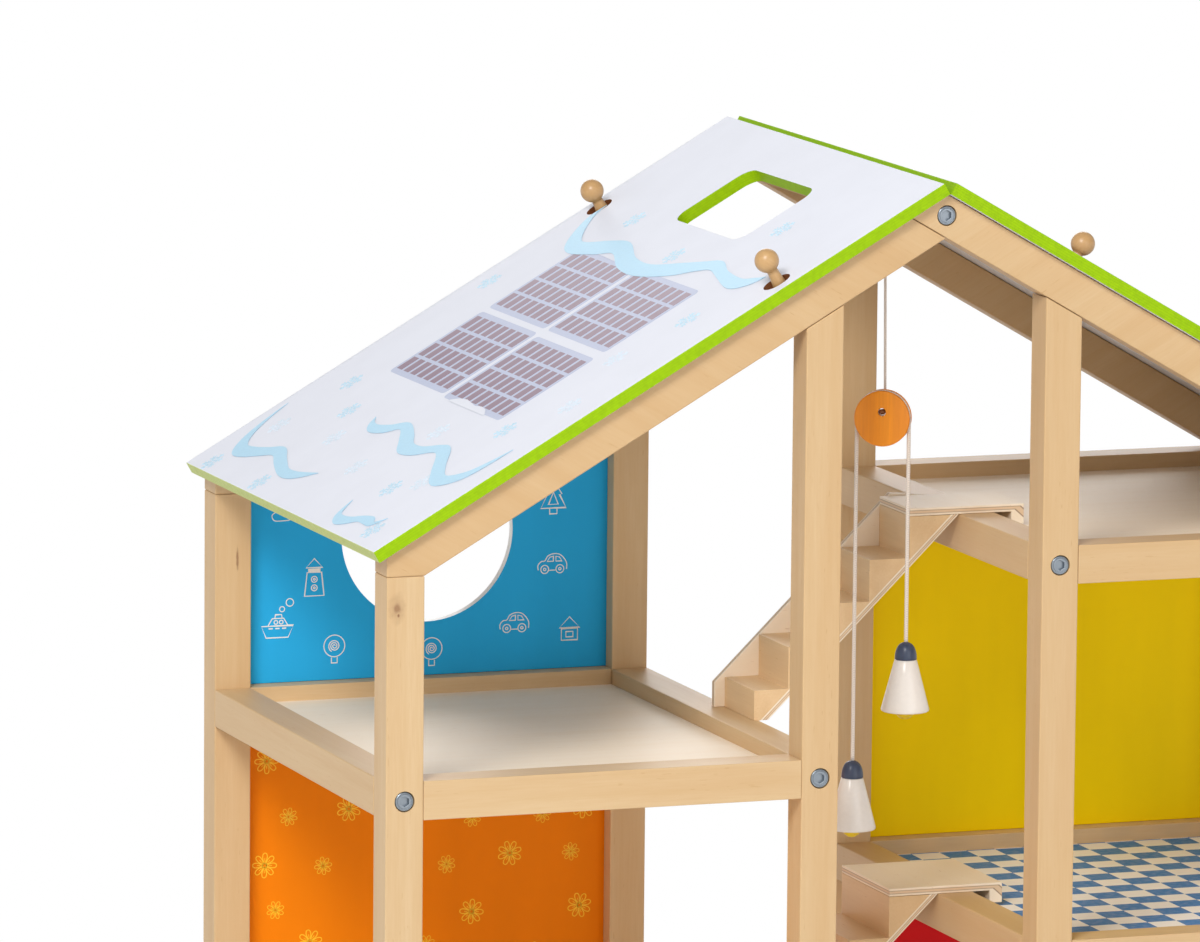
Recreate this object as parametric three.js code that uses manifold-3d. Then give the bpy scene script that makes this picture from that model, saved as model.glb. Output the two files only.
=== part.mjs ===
// Wooden split-level dollhouse: a frame of square sticks on eight posts, six floors
// half a storey apart, painted back walls, a gable roof of two lift-off panels on
// pegs, three hook-on stair flights and a lamp pair that hangs over a small pulley.
// Millimetres. +X to the right, +Y to the back, +Z up. The origin is on the ground
// under the middle of the house.
import * as THREE from 'three';
import { mergeVertices } from 'three/addons/utils/BufferGeometryUtils.js';
import Module from 'manifold-3d';

const wasm = await Module();
wasm.setup();

// ---- Driving dimensions ----
// Frame of sticks
const HALF_SPAN = 291.5; // middle of the house to the outer face of an outer post
const HOUSE_DEPTH = 298; // front faces of the front posts to back faces of the back posts
const STAIR_BAY = 108; // clear width between the two inner posts
const STICK_W = 19.5; // width of a post and of a side rail, along X
const STICK_D = 19; // depth of a post and of a front rail, along Y
const RAIL_H = 19.5; // height of every rail
// Storeys
const FOOT = 25.5; // ground to the underside of the lowest rails
const STOREY = 201.5; // rail top to rail top
const HALF_STEP = 101.5; // right wing's floors above the left wing's
const FLOORS_PER_WING = 3;
const FLOOR_T = 5; // floor board
const FLOOR_DROP = 8; // floor board below the rail tops
// Roof
const PITCH = Math.PI / 6;
const HEEL_RISE = 0.5; // rafter seats above the right wing's highest rails
const EAVE = 8.5; // roof beyond the outer posts, left and right
const VERGE = 4.5; // roof beyond the posts, front and back
const PANEL_T = 6.5;
const RIDGE_GAP = 0.3; // between the lower corners of the two roof panels
const RAFTER_H = 19; // rafter, square to the slope
const BEAM_W = 16; // ridge beam
const BEAM_H = 21.5; // ridge beam, bottom to its ridged top
const SKYLIGHT_START = 30; // ridge to the skylight, down the slope
const SKYLIGHT_RUN = 49; // skylight, down the slope
const SKYLIGHT_W = 95; // skylight, front to back
const SKYLIGHT_Y = 2; // skylight's middle
const SKYLIGHT_R = 9; // skylight's corners
// Roof pegs
const PEGS = { // from the ridge, down the slope, and the ball's middle above the panel
  left: { front: { down: 95, rise: 12 }, back: { down: 87, rise: 9.5 } },
  right: { front: { down: 81, rise: 7 }, back: { down: 83, rise: 8 } },
};
const PEG_BALL_R = 6.1;
const PEG_BALL_STEPS = 8; // flats from the neck to the ball's top
const PEG_NECK_R = 2.8; // under the ball
const PEG_SHANK_R = 3.5;
const PEG_DEPTH = 12; // shank in the rafter
const PEG_HOLE_SLACK = 0.6; // panel hole round the ball, on the radius
const PEG_HOLE_SLOT = 1.5; // extra length of the panel hole down the slope
// Back walls
const WALL_T = 5;
const WALL_SETBACK = 10; // front face of a wall behind the front faces of the back posts
const GROOVE = 4; // depth of the grooves that hold a wall
const WALL_SLACK = 0.25; // round a wall in its grooves
const WINDOW_R = 47; // round window in the upper left wall
const WINDOW_RISE = 75.5; // rail top to the window's middle
// Bolts that hold the side rails and the ridge beam
const BOLT_HEAD_R = 5.2; // counterbore
const BOLT_HEAD_DEPTH = 2.4;
// Stair flights
const TREADS = 4;
const BOTTOM_RISE = 15.5; // first tread above the lower rail
const BOTTOM_RUN = 18.4; // first tread, front to back
const STEP_BEARING = 3; // first step's seat on the lower rail
const STEP_WEB = 0.4; // wood left between a tread's inner corner and the soffit
const LANDING_T = 4;
const HOOK_PLAY = 9; // between the upper rail and the hook strip
const HOOK_W = 7; // strip under the landing's far end
const HOOK_DROP = 6.5;
const SOFFIT_T = 3; // board under the steps
const PARAPET_T = 4;
const PARAPET_UP = 13; // height of the parapet's lower end
const PARAPET_TOE = 5.5; // parapet in front of the first step
const PARAPET_CREST = 6; // parapet's highest point behind the landing's front edge
const PARAPET_NOSE = 3; // parapet's upper end in front of the upper rail
const FLIGHTS = [
  { name: 'upper', storey: 0, front: -37.5, width: 43, parapet: true },
  { name: 'middle', storey: 1, front: -16, width: 68, parapet: false },
  { name: 'lower', storey: 2, front: -37.5, width: 43, parapet: false },
];
// Pulley lamp
const PULLEY_Y = -66;
const PULLEY_DROP = 102; // ridge beam to the pulley's middle
const PULLEY_R = 14.2;
const PULLEY_T = 9;
const PULLEY_YAW = -Math.PI / 6;
const PULLEY_GROOVE = 2.2; // depth
const PULLEY_GROOVE_W = 5.2; // at the rim
const PULLEY_GROOVE_FLOOR = 1.8; // width at the bottom
const PULLEY_CHAMFER = 0.8;
const PULLEY_BORE_R = 2;
const PULLEY_BORE_UP = 3.4; // bore above the pulley's middle
const HANGER_D = 1.4; // thin cord from the ridge beam to the pulley
const LAMP_CORD_D = 2;
const LAMPS = [
  { name: 'left', side: -1, drop: 176.5 }, // pulley's middle to the cap's top
  { name: 'right', side: 1, drop: 114.5 },
];
const SHADE_R = 12.3;
const SHADE_NECK_R = 5.6;
const SHADE_H = 26.5;
const CAP_H = 8.8;
const CAP_TOP_R = 1.6;
const SHADE_RIM = 0.6; // rounding of the shade's rim
const BULB_R = 5;
const BULB_DROP = 4.3; // bulb's lowest point below the shade
const BULB_STEPS = 4;
const EYE_R = 3.2; // middle of the screw eye's ring
const EYE_WIRE_R = 0.8;
const EYE_SHANK = 8;
// Clearances
const SEAM = 0.1; // between straight glued or seated faces
const CUT_GAP = 0.3; // between slanted faces, and round turned pieces
const HOLE_FLAT = 0.05; // shortest flat between a hole's round corners
const ROUND = 16; // sides of a small turned piece

// ---- Materials ----
const paint = (color, roughness = 0.45, metalness = 0) =>
  new THREE.MeshStandardMaterial({ color, roughness, metalness });
const stickWood = paint('#E2C08F', 0.55);
const plywood = paint('#E4CBA0', 0.6);
const roofPaint = paint('#EDF1FA', 0.35);
const wallPaints = {
  left: [paint('#1C86B8'), paint('#E07A12'), paint('#7DB53A')],
  right: [null, paint('#CDB100'), paint('#C01820')],
};
const pegWood = paint('#D8B27C', 0.4);
const pulleyPaint = paint('#DE8A1C', 0.4);
const lampPaint = paint('#EDE6DF', 0.35);
const cord = paint('#EFE3D6', 0.9);
const zinc = paint('#B9BCC0', 0.35, 1);

// ---- Worked-out places ----
const FRONT = -HOUSE_DEPTH / 2;
const BACK = HOUSE_DEPTH / 2;
const FRONT_IN = FRONT + STICK_D; // inner faces of the front posts
const BACK_IN = BACK - STICK_D;
const INNER_X = STAIR_BAY / 2;
const OUTER_X = HALF_SPAN - STICK_W; // inner faces of the outer posts
const SLOPE = Math.tan(PITCH);
const upright = (square) => square / Math.cos(PITCH); // a thickness square to the slope, upright
const LEFT_TOP = FOOT + RAIL_H + (FLOORS_PER_WING - 1) * STOREY;
const RIGHT_TOP = LEFT_TOP + HALF_STEP;
const HEEL_Z = RIGHT_TOP + HEEL_RISE; // flat seat of a rafter on an outer post
const RAFTER_LOW = HEEL_Z + SLOPE * OUTER_X; // at x = 0, as is the next
const RAFTER_TOP = RAFTER_LOW + upright(RAFTER_H);
const rafterTopZ = (x) => RAFTER_TOP - SLOPE * Math.abs(x);
const rafterLowZ = (x) => RAFTER_LOW - SLOPE * Math.abs(x);
const PANEL_CORNER_X = PANEL_T * Math.sin(PITCH) + RIDGE_GAP / 2;
const PANEL_LEN = (HALF_SPAN + EAVE - PANEL_CORNER_X) / Math.cos(PITCH);
// Top corners of the roof panels
const RIDGE_Z = RAFTER_TOP + upright(PANEL_T + CUT_GAP) - PANEL_CORNER_X * SLOPE;
const BEAM_LOW = RAFTER_TOP - BEAM_H;
const PULLEY_Z = BEAM_LOW - PULLEY_DROP;
const PEG_Y = BACK - STICK_D / 2;
const WALL_FRONT = BACK_IN + WALL_SETBACK;
const wingTop = { left: LEFT_TOP, right: RIGHT_TOP };
const railTop = (wing, storey) => wingTop[wing] - storey * STOREY;

// ---- Shapes ----
const X = new THREE.Vector3(1, 0, 0);
const Y = new THREE.Vector3(0, 1, 0);
const Z = new THREE.Vector3(0, 0, 1);

function outline(points) {
  return new THREE.Shape(points.map(([a, b]) => new THREE.Vector2(a, b)));
}

// A closed outline in X and Z, carried from y0 to y1.
function alongY(shape, y0, y1) {
  const options = { depth: y1 - y0, bevelEnabled: false, curveSegments: 12 };
  const geometry = new THREE.ExtrudeGeometry(shape, options);
  geometry.applyMatrix4(new THREE.Matrix4().makeBasis(X, Z, Y.clone().negate()));
  return geometry.translate(0, y1, 0);
}

// A closed outline in Y and Z, carried from x0 to x1.
function alongX(shape, x0, x1) {
  const geometry = new THREE.ExtrudeGeometry(shape, { depth: x1 - x0, bevelEnabled: false });
  geometry.applyMatrix4(new THREE.Matrix4().makeBasis(Y, Z, X));
  return geometry.translate(x0, 0, 0);
}

function block(x0, x1, y0, y1, z0, z1) {
  const geometry = new THREE.BoxGeometry(x1 - x0, y1 - y0, z1 - z0);
  return geometry.translate((x0 + x1) / 2, (y0 + y1) / 2, (z0 + z1) / 2);
}

// A round bar about an axis through a point, reaching from start to end along it.
function bar(radius, direction, point, start, end) {
  const geometry = new THREE.CylinderGeometry(radius, radius, end - start, ROUND);
  geometry.translate(0, (start + end) / 2, 0);
  const turn = new THREE.Quaternion().setFromUnitVectors(Y, direction);
  geometry.applyQuaternion(turn);
  return geometry.translate(point.x, point.y, point.z);
}

function lathe(points, sides = 24) {
  const geometry = new THREE.LatheGeometry(points.map(([r, h]) => new THREE.Vector2(r, h)), sides);
  return geometry.rotateX(Math.PI / 2); // the turning axis is Z
}

function toSolid(geometry) {
  const bare = geometry.clone();
  bare.deleteAttribute('normal');
  bare.deleteAttribute('uv');
  const merged = mergeVertices(bare, 1e-4);
  const count = merged.attributes.position.count;
  const triangles = merged.index ? merged.index.array : Array.from({ length: count }, (_, i) => i);
  return new wasm.Manifold(new wasm.Mesh({
    numProp: 3,
    vertProperties: new Float32Array(merged.attributes.position.array),
    triVerts: new Uint32Array(triangles),
  }));
}

function toGeometry(solid) {
  const mesh = solid.getMesh();
  const geometry = new THREE.BufferGeometry();
  geometry.setAttribute('position', new THREE.BufferAttribute(mesh.vertProperties, 3));
  geometry.setIndex(new THREE.BufferAttribute(mesh.triVerts, 1));
  geometry.computeVertexNormals();
  return geometry;
}

const cut = (geometry, tools) =>
  toGeometry(tools.reduce((solid, tool) => solid.subtract(toSolid(tool)), toSolid(geometry)));
const join = (first, ...others) =>
  toGeometry(others.reduce((solid, other) => solid.add(toSolid(other)), toSolid(first)));

const house = new THREE.Group();

function piece(name, geometry, material, parent = house) {
  const mesh = new THREE.Mesh(geometry, material);
  mesh.name = name;
  parent.add(mesh);
  return mesh;
}

// ---- Frame ----
const SIDES = [
  { wing: 'left', sign: -1 },
  { wing: 'right', sign: 1 },
];
const storeys = Array.from({ length: FLOORS_PER_WING }, (_, i) => i);
const STOREY_NAMES = ['upper', 'middle', 'lower'];
const FACES = [
  { face: 'front', y0: FRONT, y1: FRONT_IN, skin: FRONT, inward: 1 },
  { face: 'back', y0: BACK_IN, y1: BACK, skin: BACK, inward: -1 },
];

// Counterbore for a bolt head in the outer face of the front or the back.
function headSink(x, z, { skin, inward }) {
  const direction = Y.clone().multiplyScalar(inward);
  return bar(BOLT_HEAD_R, direction, new THREE.Vector3(x, skin, z), -1, BOLT_HEAD_DEPTH);
}

const hasBackWall = (wing, storey) => wallPaints[wing][storey] !== null;

// Groove for the back walls, cut in the side of a back post that faces its wing's rooms.
function wallGroove(wing, roomSideX, direction) {
  const walled = storeys.filter((storey) => hasBackWall(wing, storey));
  const lowest = railTop(wing, Math.max(...walled));
  const highest = walled[0] === 0 ? RIDGE_Z : railTop(wing, walled[0] - 1) - RAIL_H;
  const xs = [roomSideX - GROOVE * direction, roomSideX + direction].sort((a, b) => a - b);
  return block(xs[0], xs[1], WALL_FRONT - WALL_SLACK, WALL_FRONT + WALL_T + WALL_SLACK, lowest, highest);
}

for (const { wing, sign } of SIDES) {
  const posts = [
    { place: 'outer', near: OUTER_X, far: HALF_SPAN, roomSide: OUTER_X, facing: -sign },
    { place: 'inner', near: INNER_X, far: INNER_X + STICK_W, roomSide: INNER_X + STICK_W, facing: sign },
  ];
  for (const { place, near, far, roomSide, facing } of posts) {
    const topNear = place === 'outer' ? HEEL_Z - SEAM : rafterLowZ(near) - upright(CUT_GAP);
    const topFar = place === 'outer' ? HEEL_Z - SEAM : rafterLowZ(far) - upright(CUT_GAP);
    const corners = [[near, 0], [far, 0], [far, topFar], [near, topNear]];
    const shape = outline(corners.map(([x, z]) => [sign * x, z]));
    const middle = sign * (near + far) / 2;
    for (const face of FACES) {
      const tools = storeys.map((storey) => headSink(middle, railTop(wing, storey) - RAIL_H / 2, face));
      if (face.face === 'back') {
        tools.push(wallGroove(wing, sign * roomSide, facing));
      }
      piece(`post_${face.face}_${wing}_${place}`, cut(alongY(shape, face.y0, face.y1), tools), stickWood);
    }
  }
}

// The right rafter runs on over the ridge to the left roof panel, and the left rafter
// butts against its lower edge.
const RAFTER_LAP = RAFTER_H / (2 * Math.sin(PITCH)); // past the middle, where the edges cross
const lapX = -RAFTER_LAP;
const buttLow = -upright(CUT_GAP) / (2 * SLOPE);
const buttHigh = lapX + buttLow;
const rafterShapes = {
  left: [
    [-HALF_SPAN, HEEL_Z], [-OUTER_X, HEEL_Z], [buttLow, rafterLowZ(buttLow)],
    [buttHigh, rafterTopZ(buttHigh)], [-HALF_SPAN, rafterTopZ(HALF_SPAN)],
  ],
  right: [
    [HALF_SPAN, HEEL_Z], [HALF_SPAN, rafterTopZ(HALF_SPAN)], [0, RAFTER_TOP],
    [lapX, rafterTopZ(lapX)], [OUTER_X, HEEL_Z],
  ],
};
const BEAM_MIDDLE = BEAM_LOW + BEAM_H / 2;
for (const { wing, sign } of SIDES) {
  const normal = new THREE.Vector3(sign * Math.sin(PITCH), 0, Math.cos(PITCH));
  for (const face of FACES) {
    const { down } = PEGS[wing][face.face];
    const pegX = sign * (PANEL_CORNER_X + down * Math.cos(PITCH));
    const pegZ = RIDGE_Z - down * Math.sin(PITCH);
    const pegPoint = new THREE.Vector3(pegX, Math.sign(face.skin) * PEG_Y, pegZ);
    const depth = PANEL_T + CUT_GAP + PEG_DEPTH + CUT_GAP;
    const tools = [bar(PEG_SHANK_R + CUT_GAP, normal, pegPoint, -depth, 0)];
    if (wing === 'right') {
      tools.push(headSink(0, BEAM_MIDDLE, face));
    }
    const geometry = cut(alongY(outline(rafterShapes[wing]), face.y0, face.y1), tools);
    piece(`rafter_${face.face}_${wing}`, geometry, stickWood);
  }
}

const beamHalf = BEAM_W / 2;
const beamShape = outline([
  [-beamHalf, BEAM_LOW], [beamHalf, BEAM_LOW], [beamHalf, rafterTopZ(beamHalf)],
  [0, RAFTER_TOP], [-beamHalf, rafterTopZ(beamHalf)],
]);
const eyePlace = new THREE.Vector3(0, PULLEY_Y, BEAM_LOW);
const eyeBore = bar(EYE_WIRE_R + CUT_GAP, Z, eyePlace, -1, EYE_SHANK + CUT_GAP);
const beam = alongY(beamShape, FRONT_IN + SEAM, BACK_IN - SEAM);
piece('ridge_beam', cut(beam, [eyeBore]), stickWood);

// ---- Floors ----
// A floor board glued between a front and a back rail, and a side rail at each end.
for (const { wing, sign } of SIDES) {
  const ends = [INNER_X + STICK_W, OUTER_X].map((x) => sign * x).sort((a, b) => a - b);
  for (const storey of storeys) {
    const top = railTop(wing, storey);
    const low = top - RAIL_H;
    const board = top - FLOOR_DROP;
    const profile = outline([
      [FRONT, low], [FRONT_IN, low], [FRONT_IN, board - FLOOR_T], [BACK_IN, board - FLOOR_T],
      [BACK_IN, low], [BACK, low], [BACK, top], [BACK_IN, top], [BACK_IN, board],
      [FRONT_IN, board], [FRONT_IN, top], [FRONT, top],
    ]);
    const label = `${wing}_${STOREY_NAMES[storey]}`;
    piece(`floor_${label}`, alongX(profile, ends[0] + SEAM, ends[1] - SEAM), plywood);
    for (const [place, start] of [['outer', OUTER_X], ['inner', INNER_X]]) {
      const xs = [sign * start, sign * (start + STICK_W)].sort((a, b) => a - b);
      const rail = block(xs[0], xs[1], FRONT_IN + SEAM, BACK_IN - SEAM, low, top);
      piece(`side_rail_${label}_${place}`, rail, stickWood);
    }
  }
}

// ---- Back walls ----
for (const { wing, sign } of SIDES) {
  const reach = GROOVE - WALL_SLACK;
  const inner = INNER_X + STICK_W - reach;
  const outer = OUTER_X + reach;
  for (const storey of storeys.filter((level) => hasBackWall(wing, level))) {
    const low = railTop(wing, storey) + SEAM;
    const above = railTop(wing, storey - 1) - RAIL_H - SEAM;
    const topInner = storey === 0 ? rafterLowZ(inner) - upright(CUT_GAP) : above;
    const topOuter = storey === 0 ? rafterLowZ(outer) - upright(CUT_GAP) : above;
    const points = [[inner, low], [outer, low], [outer, topOuter], [inner, topInner]];
    const shape = outline(points.map(([x, z]) => [sign * x, z]));
    if (wing === 'left' && storey === 0) {
      const window = new THREE.Path();
      const windowZ = railTop(wing, storey) + WINDOW_RISE;
      window.absarc(sign * (inner + outer) / 2, windowZ, WINDOW_R, 0, 2 * Math.PI);
      shape.holes.push(window);
    }
    const wall = alongY(shape, WALL_FRONT, WALL_FRONT + WALL_T);
    piece(`back_wall_${wing}_${STOREY_NAMES[storey]}`, wall, wallPaints[wing][storey]);
  }
}

// ---- Roof ----
// Each side has a group at the panel's upper corner on the ridge. In it, X runs along
// the slope, down on this side, and Z is square to the panel, 0 on its top face.
function roundedRectangle(x0, x1, y0, y1, radius) {
  const path = new THREE.Path();
  path.absarc(x1 - radius, y1 - radius, radius, 0, Math.PI / 2);
  path.absarc(x0 + radius, y1 - radius, radius, Math.PI / 2, Math.PI);
  path.absarc(x0 + radius, y0 + radius, radius, Math.PI, 1.5 * Math.PI);
  path.absarc(x1 - radius, y0 + radius, radius, 1.5 * Math.PI, 2 * Math.PI);
  path.closePath();
  return path;
}

for (const { wing, sign } of SIDES) {
  const slope = new THREE.Group();
  slope.position.set(sign * PANEL_CORNER_X, 0, RIDGE_Z);
  slope.rotation.y = sign * PITCH;
  house.add(slope);

  const span = [0, sign * PANEL_LEN].sort((a, b) => a - b);
  const halfDepth = HOUSE_DEPTH / 2 + VERGE;
  const panel = outline([
    [span[0], -halfDepth], [span[1], -halfDepth], [span[1], halfDepth], [span[0], halfDepth],
  ]);
  const holeR = PEG_BALL_R + PEG_HOLE_SLACK;
  for (const { face, skin } of FACES) {
    const { down } = PEGS[wing][face];
    const y = Math.sign(skin) * PEG_Y;
    const xs = [sign * (down - holeR), sign * (down + holeR + PEG_HOLE_SLOT)].sort((a, b) => a - b);
    panel.holes.push(roundedRectangle(xs[0], xs[1], y - holeR, y + holeR, holeR - HOLE_FLAT));
  }
  if (wing === 'left') {
    const xs = [-SKYLIGHT_START - SKYLIGHT_RUN, -SKYLIGHT_START];
    const ys = [SKYLIGHT_Y - SKYLIGHT_W / 2, SKYLIGHT_Y + SKYLIGHT_W / 2];
    panel.holes.push(roundedRectangle(xs[0], xs[1], ys[0], ys[1], SKYLIGHT_R));
  }
  const sheet = new THREE.ExtrudeGeometry(panel, { depth: PANEL_T, bevelEnabled: false, curveSegments: 6 });
  piece(`roof_panel_${wing}`, sheet.translate(0, 0, -PANEL_T), roofPaint, slope);

  for (const { face, skin } of FACES) {
    const { down, rise } = PEGS[wing][face];
    const foot = -PANEL_T - CUT_GAP - PEG_DEPTH;
    const profile = [[0, foot], [PEG_SHANK_R, foot], [PEG_SHANK_R, 0]];
    const joinAngle = Math.asin(PEG_NECK_R / PEG_BALL_R);
    for (let i = 0; i < PEG_BALL_STEPS; i += 1) {
      const angle = joinAngle + (Math.PI - joinAngle) * i / PEG_BALL_STEPS;
      profile.push([PEG_BALL_R * Math.sin(angle), rise - PEG_BALL_R * Math.cos(angle)]);
    }
    profile.push([0, rise + PEG_BALL_R]);
    const peg = piece(`peg_${face}_${wing}`, lathe(profile, ROUND), pegWood, slope);
    peg.position.set(sign * down, Math.sign(skin) * PEG_Y, 0);
  }
}

// ---- Stairs ----
// A flight spans the stair bay from a left rail to the next right rail. Its steps stand on
// a sloping board, and its landing lies over the right rail with a hook strip behind it.
for (const { name, storey, front, width, parapet } of FLIGHTS) {
  const base = railTop('left', storey) + SEAM;
  const top = railTop('right', storey);
  const back = front + width;
  const bottomRiser = -INNER_X - STEP_BEARING;
  const firstTread = base + BOTTOM_RISE;
  const rise = (top - firstTread) / TREADS;
  const headX = INNER_X - CUT_GAP; // soffit's head against the upper rail
  const boardAcross = SOFFIT_T * Math.SQRT2; // soffit's thickness, level, at about 45 degrees
  const run = (headX - boardAcross - STEP_WEB - CUT_GAP * Math.SQRT2 - bottomRiser - BOTTOM_RUN) / TREADS;
  const topRiser = bottomRiser + BOTTOM_RUN + (TREADS - 1) * run;
  const footX = headX - (top - base) * run / rise;
  const soffit = outline([
    [footX, base], [headX, top], [headX - boardAcross, top], [footX - boardAcross, base],
  ]);
  piece(`stair_soffit_${name}`, alongY(soffit, front, back), plywood);

  const gapAcross = boardAcross + CUT_GAP * Math.SQRT2;
  const steps = [[footX - gapAcross, base], [bottomRiser, base], [bottomRiser, firstTread]];
  for (let i = 0; i < TREADS; i += 1) {
    const riser = topRiser - (TREADS - 1 - i) * run;
    steps.push([riser, firstTread + i * rise], [riser, firstTread + (i + 1) * rise]);
  }
  steps.push([headX - gapAcross, top]);
  piece(`stair_steps_${name}`, alongY(outline(steps), front, back), plywood);

  const under = top + SEAM;
  const hookX = INNER_X + STICK_W + HOOK_PLAY;
  const landing = outline([
    [topRiser, under], [hookX, under], [hookX, under - HOOK_DROP],
    [hookX + HOOK_W, under - HOOK_DROP], [hookX + HOOK_W, under + LANDING_T], [topRiser, under + LANDING_T],
  ]);
  piece(`stair_landing_${name}`, alongY(landing, front, back), plywood);

  if (parapet) {
    const startX = bottomRiser - PARAPET_TOE;
    const crestX = topRiser + PARAPET_CREST;
    const crest = base + PARAPET_UP + (crestX - startX) * rise / run;
    const board = outline([
      [startX, base], [footX, base], [headX, top], [headX - PARAPET_NOSE, under + LANDING_T],
      [crestX, crest], [startX, base + PARAPET_UP],
    ]);
    piece(`stair_parapet_${name}`, alongY(board, back + SEAM, back + SEAM + PARAPET_T), plywood);
  }
}

// ---- Pulley lamp ----
// The pulley's group stands under the screw eye, turned about the hanger cord. In it, X
// runs across the pulley's rim and Y along its axle hole.
const ring = new THREE.TorusGeometry(EYE_R, EYE_WIRE_R, 8, 20);
ring.rotateY(Math.PI / 2).translate(0, PULLEY_Y, BEAM_LOW - EYE_R - EYE_WIRE_R);
const shank = bar(EYE_WIRE_R, Z, eyePlace, -2 * EYE_WIRE_R, EYE_SHANK);
piece('screw_eye', join(ring, shank), zinc);

const lampGroup = new THREE.Group();
lampGroup.position.set(0, PULLEY_Y, 0);
lampGroup.rotation.z = PULLEY_YAW;
house.add(lampGroup);

const half = PULLEY_T / 2;
const grooveR = PULLEY_R - PULLEY_GROOVE;
const wheelProfile = [
  [0, -half], [PULLEY_R - PULLEY_CHAMFER, -half], [PULLEY_R, -half + PULLEY_CHAMFER],
  [PULLEY_R, -PULLEY_GROOVE_W / 2], [grooveR, -PULLEY_GROOVE_FLOOR / 2],
  [grooveR, PULLEY_GROOVE_FLOOR / 2], [PULLEY_R, PULLEY_GROOVE_W / 2],
  [PULLEY_R, half - PULLEY_CHAMFER], [PULLEY_R - PULLEY_CHAMFER, half], [0, half],
];
const borePlace = new THREE.Vector3(0, PULLEY_BORE_UP, 0);
const bore = bar(PULLEY_BORE_R, Z, borePlace, -PULLEY_T, PULLEY_T);
const wheel = piece('pulley_wheel', cut(lathe(wheelProfile, 36), [bore]), pulleyPaint, lampGroup);
wheel.rotation.x = Math.PI / 2;
wheel.position.z = PULLEY_Z;

function cordGeometry(points, diameter, steps, sides = 8) {
  const section = new THREE.Shape();
  section.absarc(0, 0, diameter / 2, 0, 2 * Math.PI);
  const path = new THREE.CatmullRomCurve3(points.map((p) => new THREE.Vector3(...p)));
  const options = { steps, extrudePath: path, curveSegments: sides, bevelEnabled: false };
  return new THREE.ExtrudeGeometry(section, options);
}

// The hanger cord comes down behind the pulley and turns into its axle hole.
const boreZ = PULLEY_Z + PULLEY_BORE_UP;
const behind = half + CUT_GAP + HANGER_D / 2 + 0.5;
const eyeLow = BEAM_LOW - 2 * EYE_R - 2 * EYE_WIRE_R - CUT_GAP;
const LEAN = 12; // how far from its ends the cord comes away from the upright
const BEND = 3; // how far round the bore's edge it turns
const hangerPath = [
  [0, 0, eyeLow], [0, behind * 0.15, eyeLow - LEAN], [0, behind * 0.85, PULLEY_Z + PULLEY_R + LEAN],
  [0, behind, PULLEY_Z + PULLEY_R], [0, behind, boreZ + BEND],
  [0, behind - HANGER_D / 2, boreZ + HANGER_D / 2], [0, half - HANGER_D / 2, boreZ], [0, 0, boreZ],
];
piece('hanger_cord', cordGeometry(hangerPath, HANGER_D, 44), cord, lampGroup);

// The lamp cord lies over the pulley's groove, and a strand hangs down on each side.
const wrapR = grooveR + CUT_GAP + LAMP_CORD_D / 2;
const wrapPath = [];
const wrapSteps = 12;
for (let i = 0; i <= wrapSteps; i += 1) {
  const angle = Math.PI * i / wrapSteps;
  wrapPath.push([-wrapR * Math.cos(angle), 0, PULLEY_Z + wrapR * Math.sin(angle)]);
}
piece('lamp_cord_over_pulley', cordGeometry(wrapPath, LAMP_CORD_D, 24), cord, lampGroup);

// A pendant from its bulb up over the shade and the cap, 0 at the shade's lower edge.
const lampProfile = [];
for (let i = 0; i <= BULB_STEPS; i += 1) {
  const height = -BULB_DROP * (1 - (i / BULB_STEPS) ** 2);
  const above = height + BULB_DROP;
  lampProfile.push([Math.sqrt(Math.max(0, 2 * BULB_R * above - above * above)), height]);
}
lampProfile.push([SHADE_R - SHADE_RIM, 0], [SHADE_R, SHADE_RIM], [SHADE_NECK_R, SHADE_H]);
for (const [narrow, up] of [[0.94, 0.35], [0.72, 0.72]]) { // the cap's round shoulders
  lampProfile.push([SHADE_NECK_R * narrow, SHADE_H + CAP_H * up]);
}
lampProfile.push([CAP_TOP_R, SHADE_H + CAP_H], [0, SHADE_H + CAP_H]);
for (const { name, side, drop } of LAMPS) {
  const top = PULLEY_Z - drop;
  const middle = new THREE.Vector3(side * wrapR, 0, 0);
  const strand = bar(LAMP_CORD_D / 2, Z, middle, top + CUT_GAP, PULLEY_Z - CUT_GAP);
  piece(`lamp_cord_${name}`, strand, cord, lampGroup);
  const lamp = piece(`lamp_${name}`, lathe(lampProfile), lampPaint, lampGroup);
  lamp.position.set(side * wrapR, 0, top - SHADE_H - CAP_H);
}

export default house;
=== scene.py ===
import math

import bmesh
import bpy
from bpy.props import FloatProperty, FloatVectorProperty, IntProperty, PointerProperty
from mathutils import Matrix, Vector


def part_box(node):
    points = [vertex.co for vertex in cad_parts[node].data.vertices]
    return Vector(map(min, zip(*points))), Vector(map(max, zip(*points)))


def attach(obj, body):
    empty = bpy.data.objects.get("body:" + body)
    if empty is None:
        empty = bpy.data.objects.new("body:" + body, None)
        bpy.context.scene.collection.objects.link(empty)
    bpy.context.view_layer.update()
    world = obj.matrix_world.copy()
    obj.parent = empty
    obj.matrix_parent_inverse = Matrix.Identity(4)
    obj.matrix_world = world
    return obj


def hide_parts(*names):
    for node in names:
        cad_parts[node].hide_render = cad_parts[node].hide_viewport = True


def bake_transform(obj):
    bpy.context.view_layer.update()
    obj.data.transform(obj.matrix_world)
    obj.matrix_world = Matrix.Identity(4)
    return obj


bl_info = {
    "name": "Split-Level Dollhouse",
    "version": (1, 0, 0),
    "blender": (4, 5, 0),
    "location": "3D View > Sidebar > Dollhouse",
    "description": "Dresses the wooden dollhouse: sticks, floors, painted walls, roof, stairs and lamp",
    "category": "Object",
}

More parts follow.
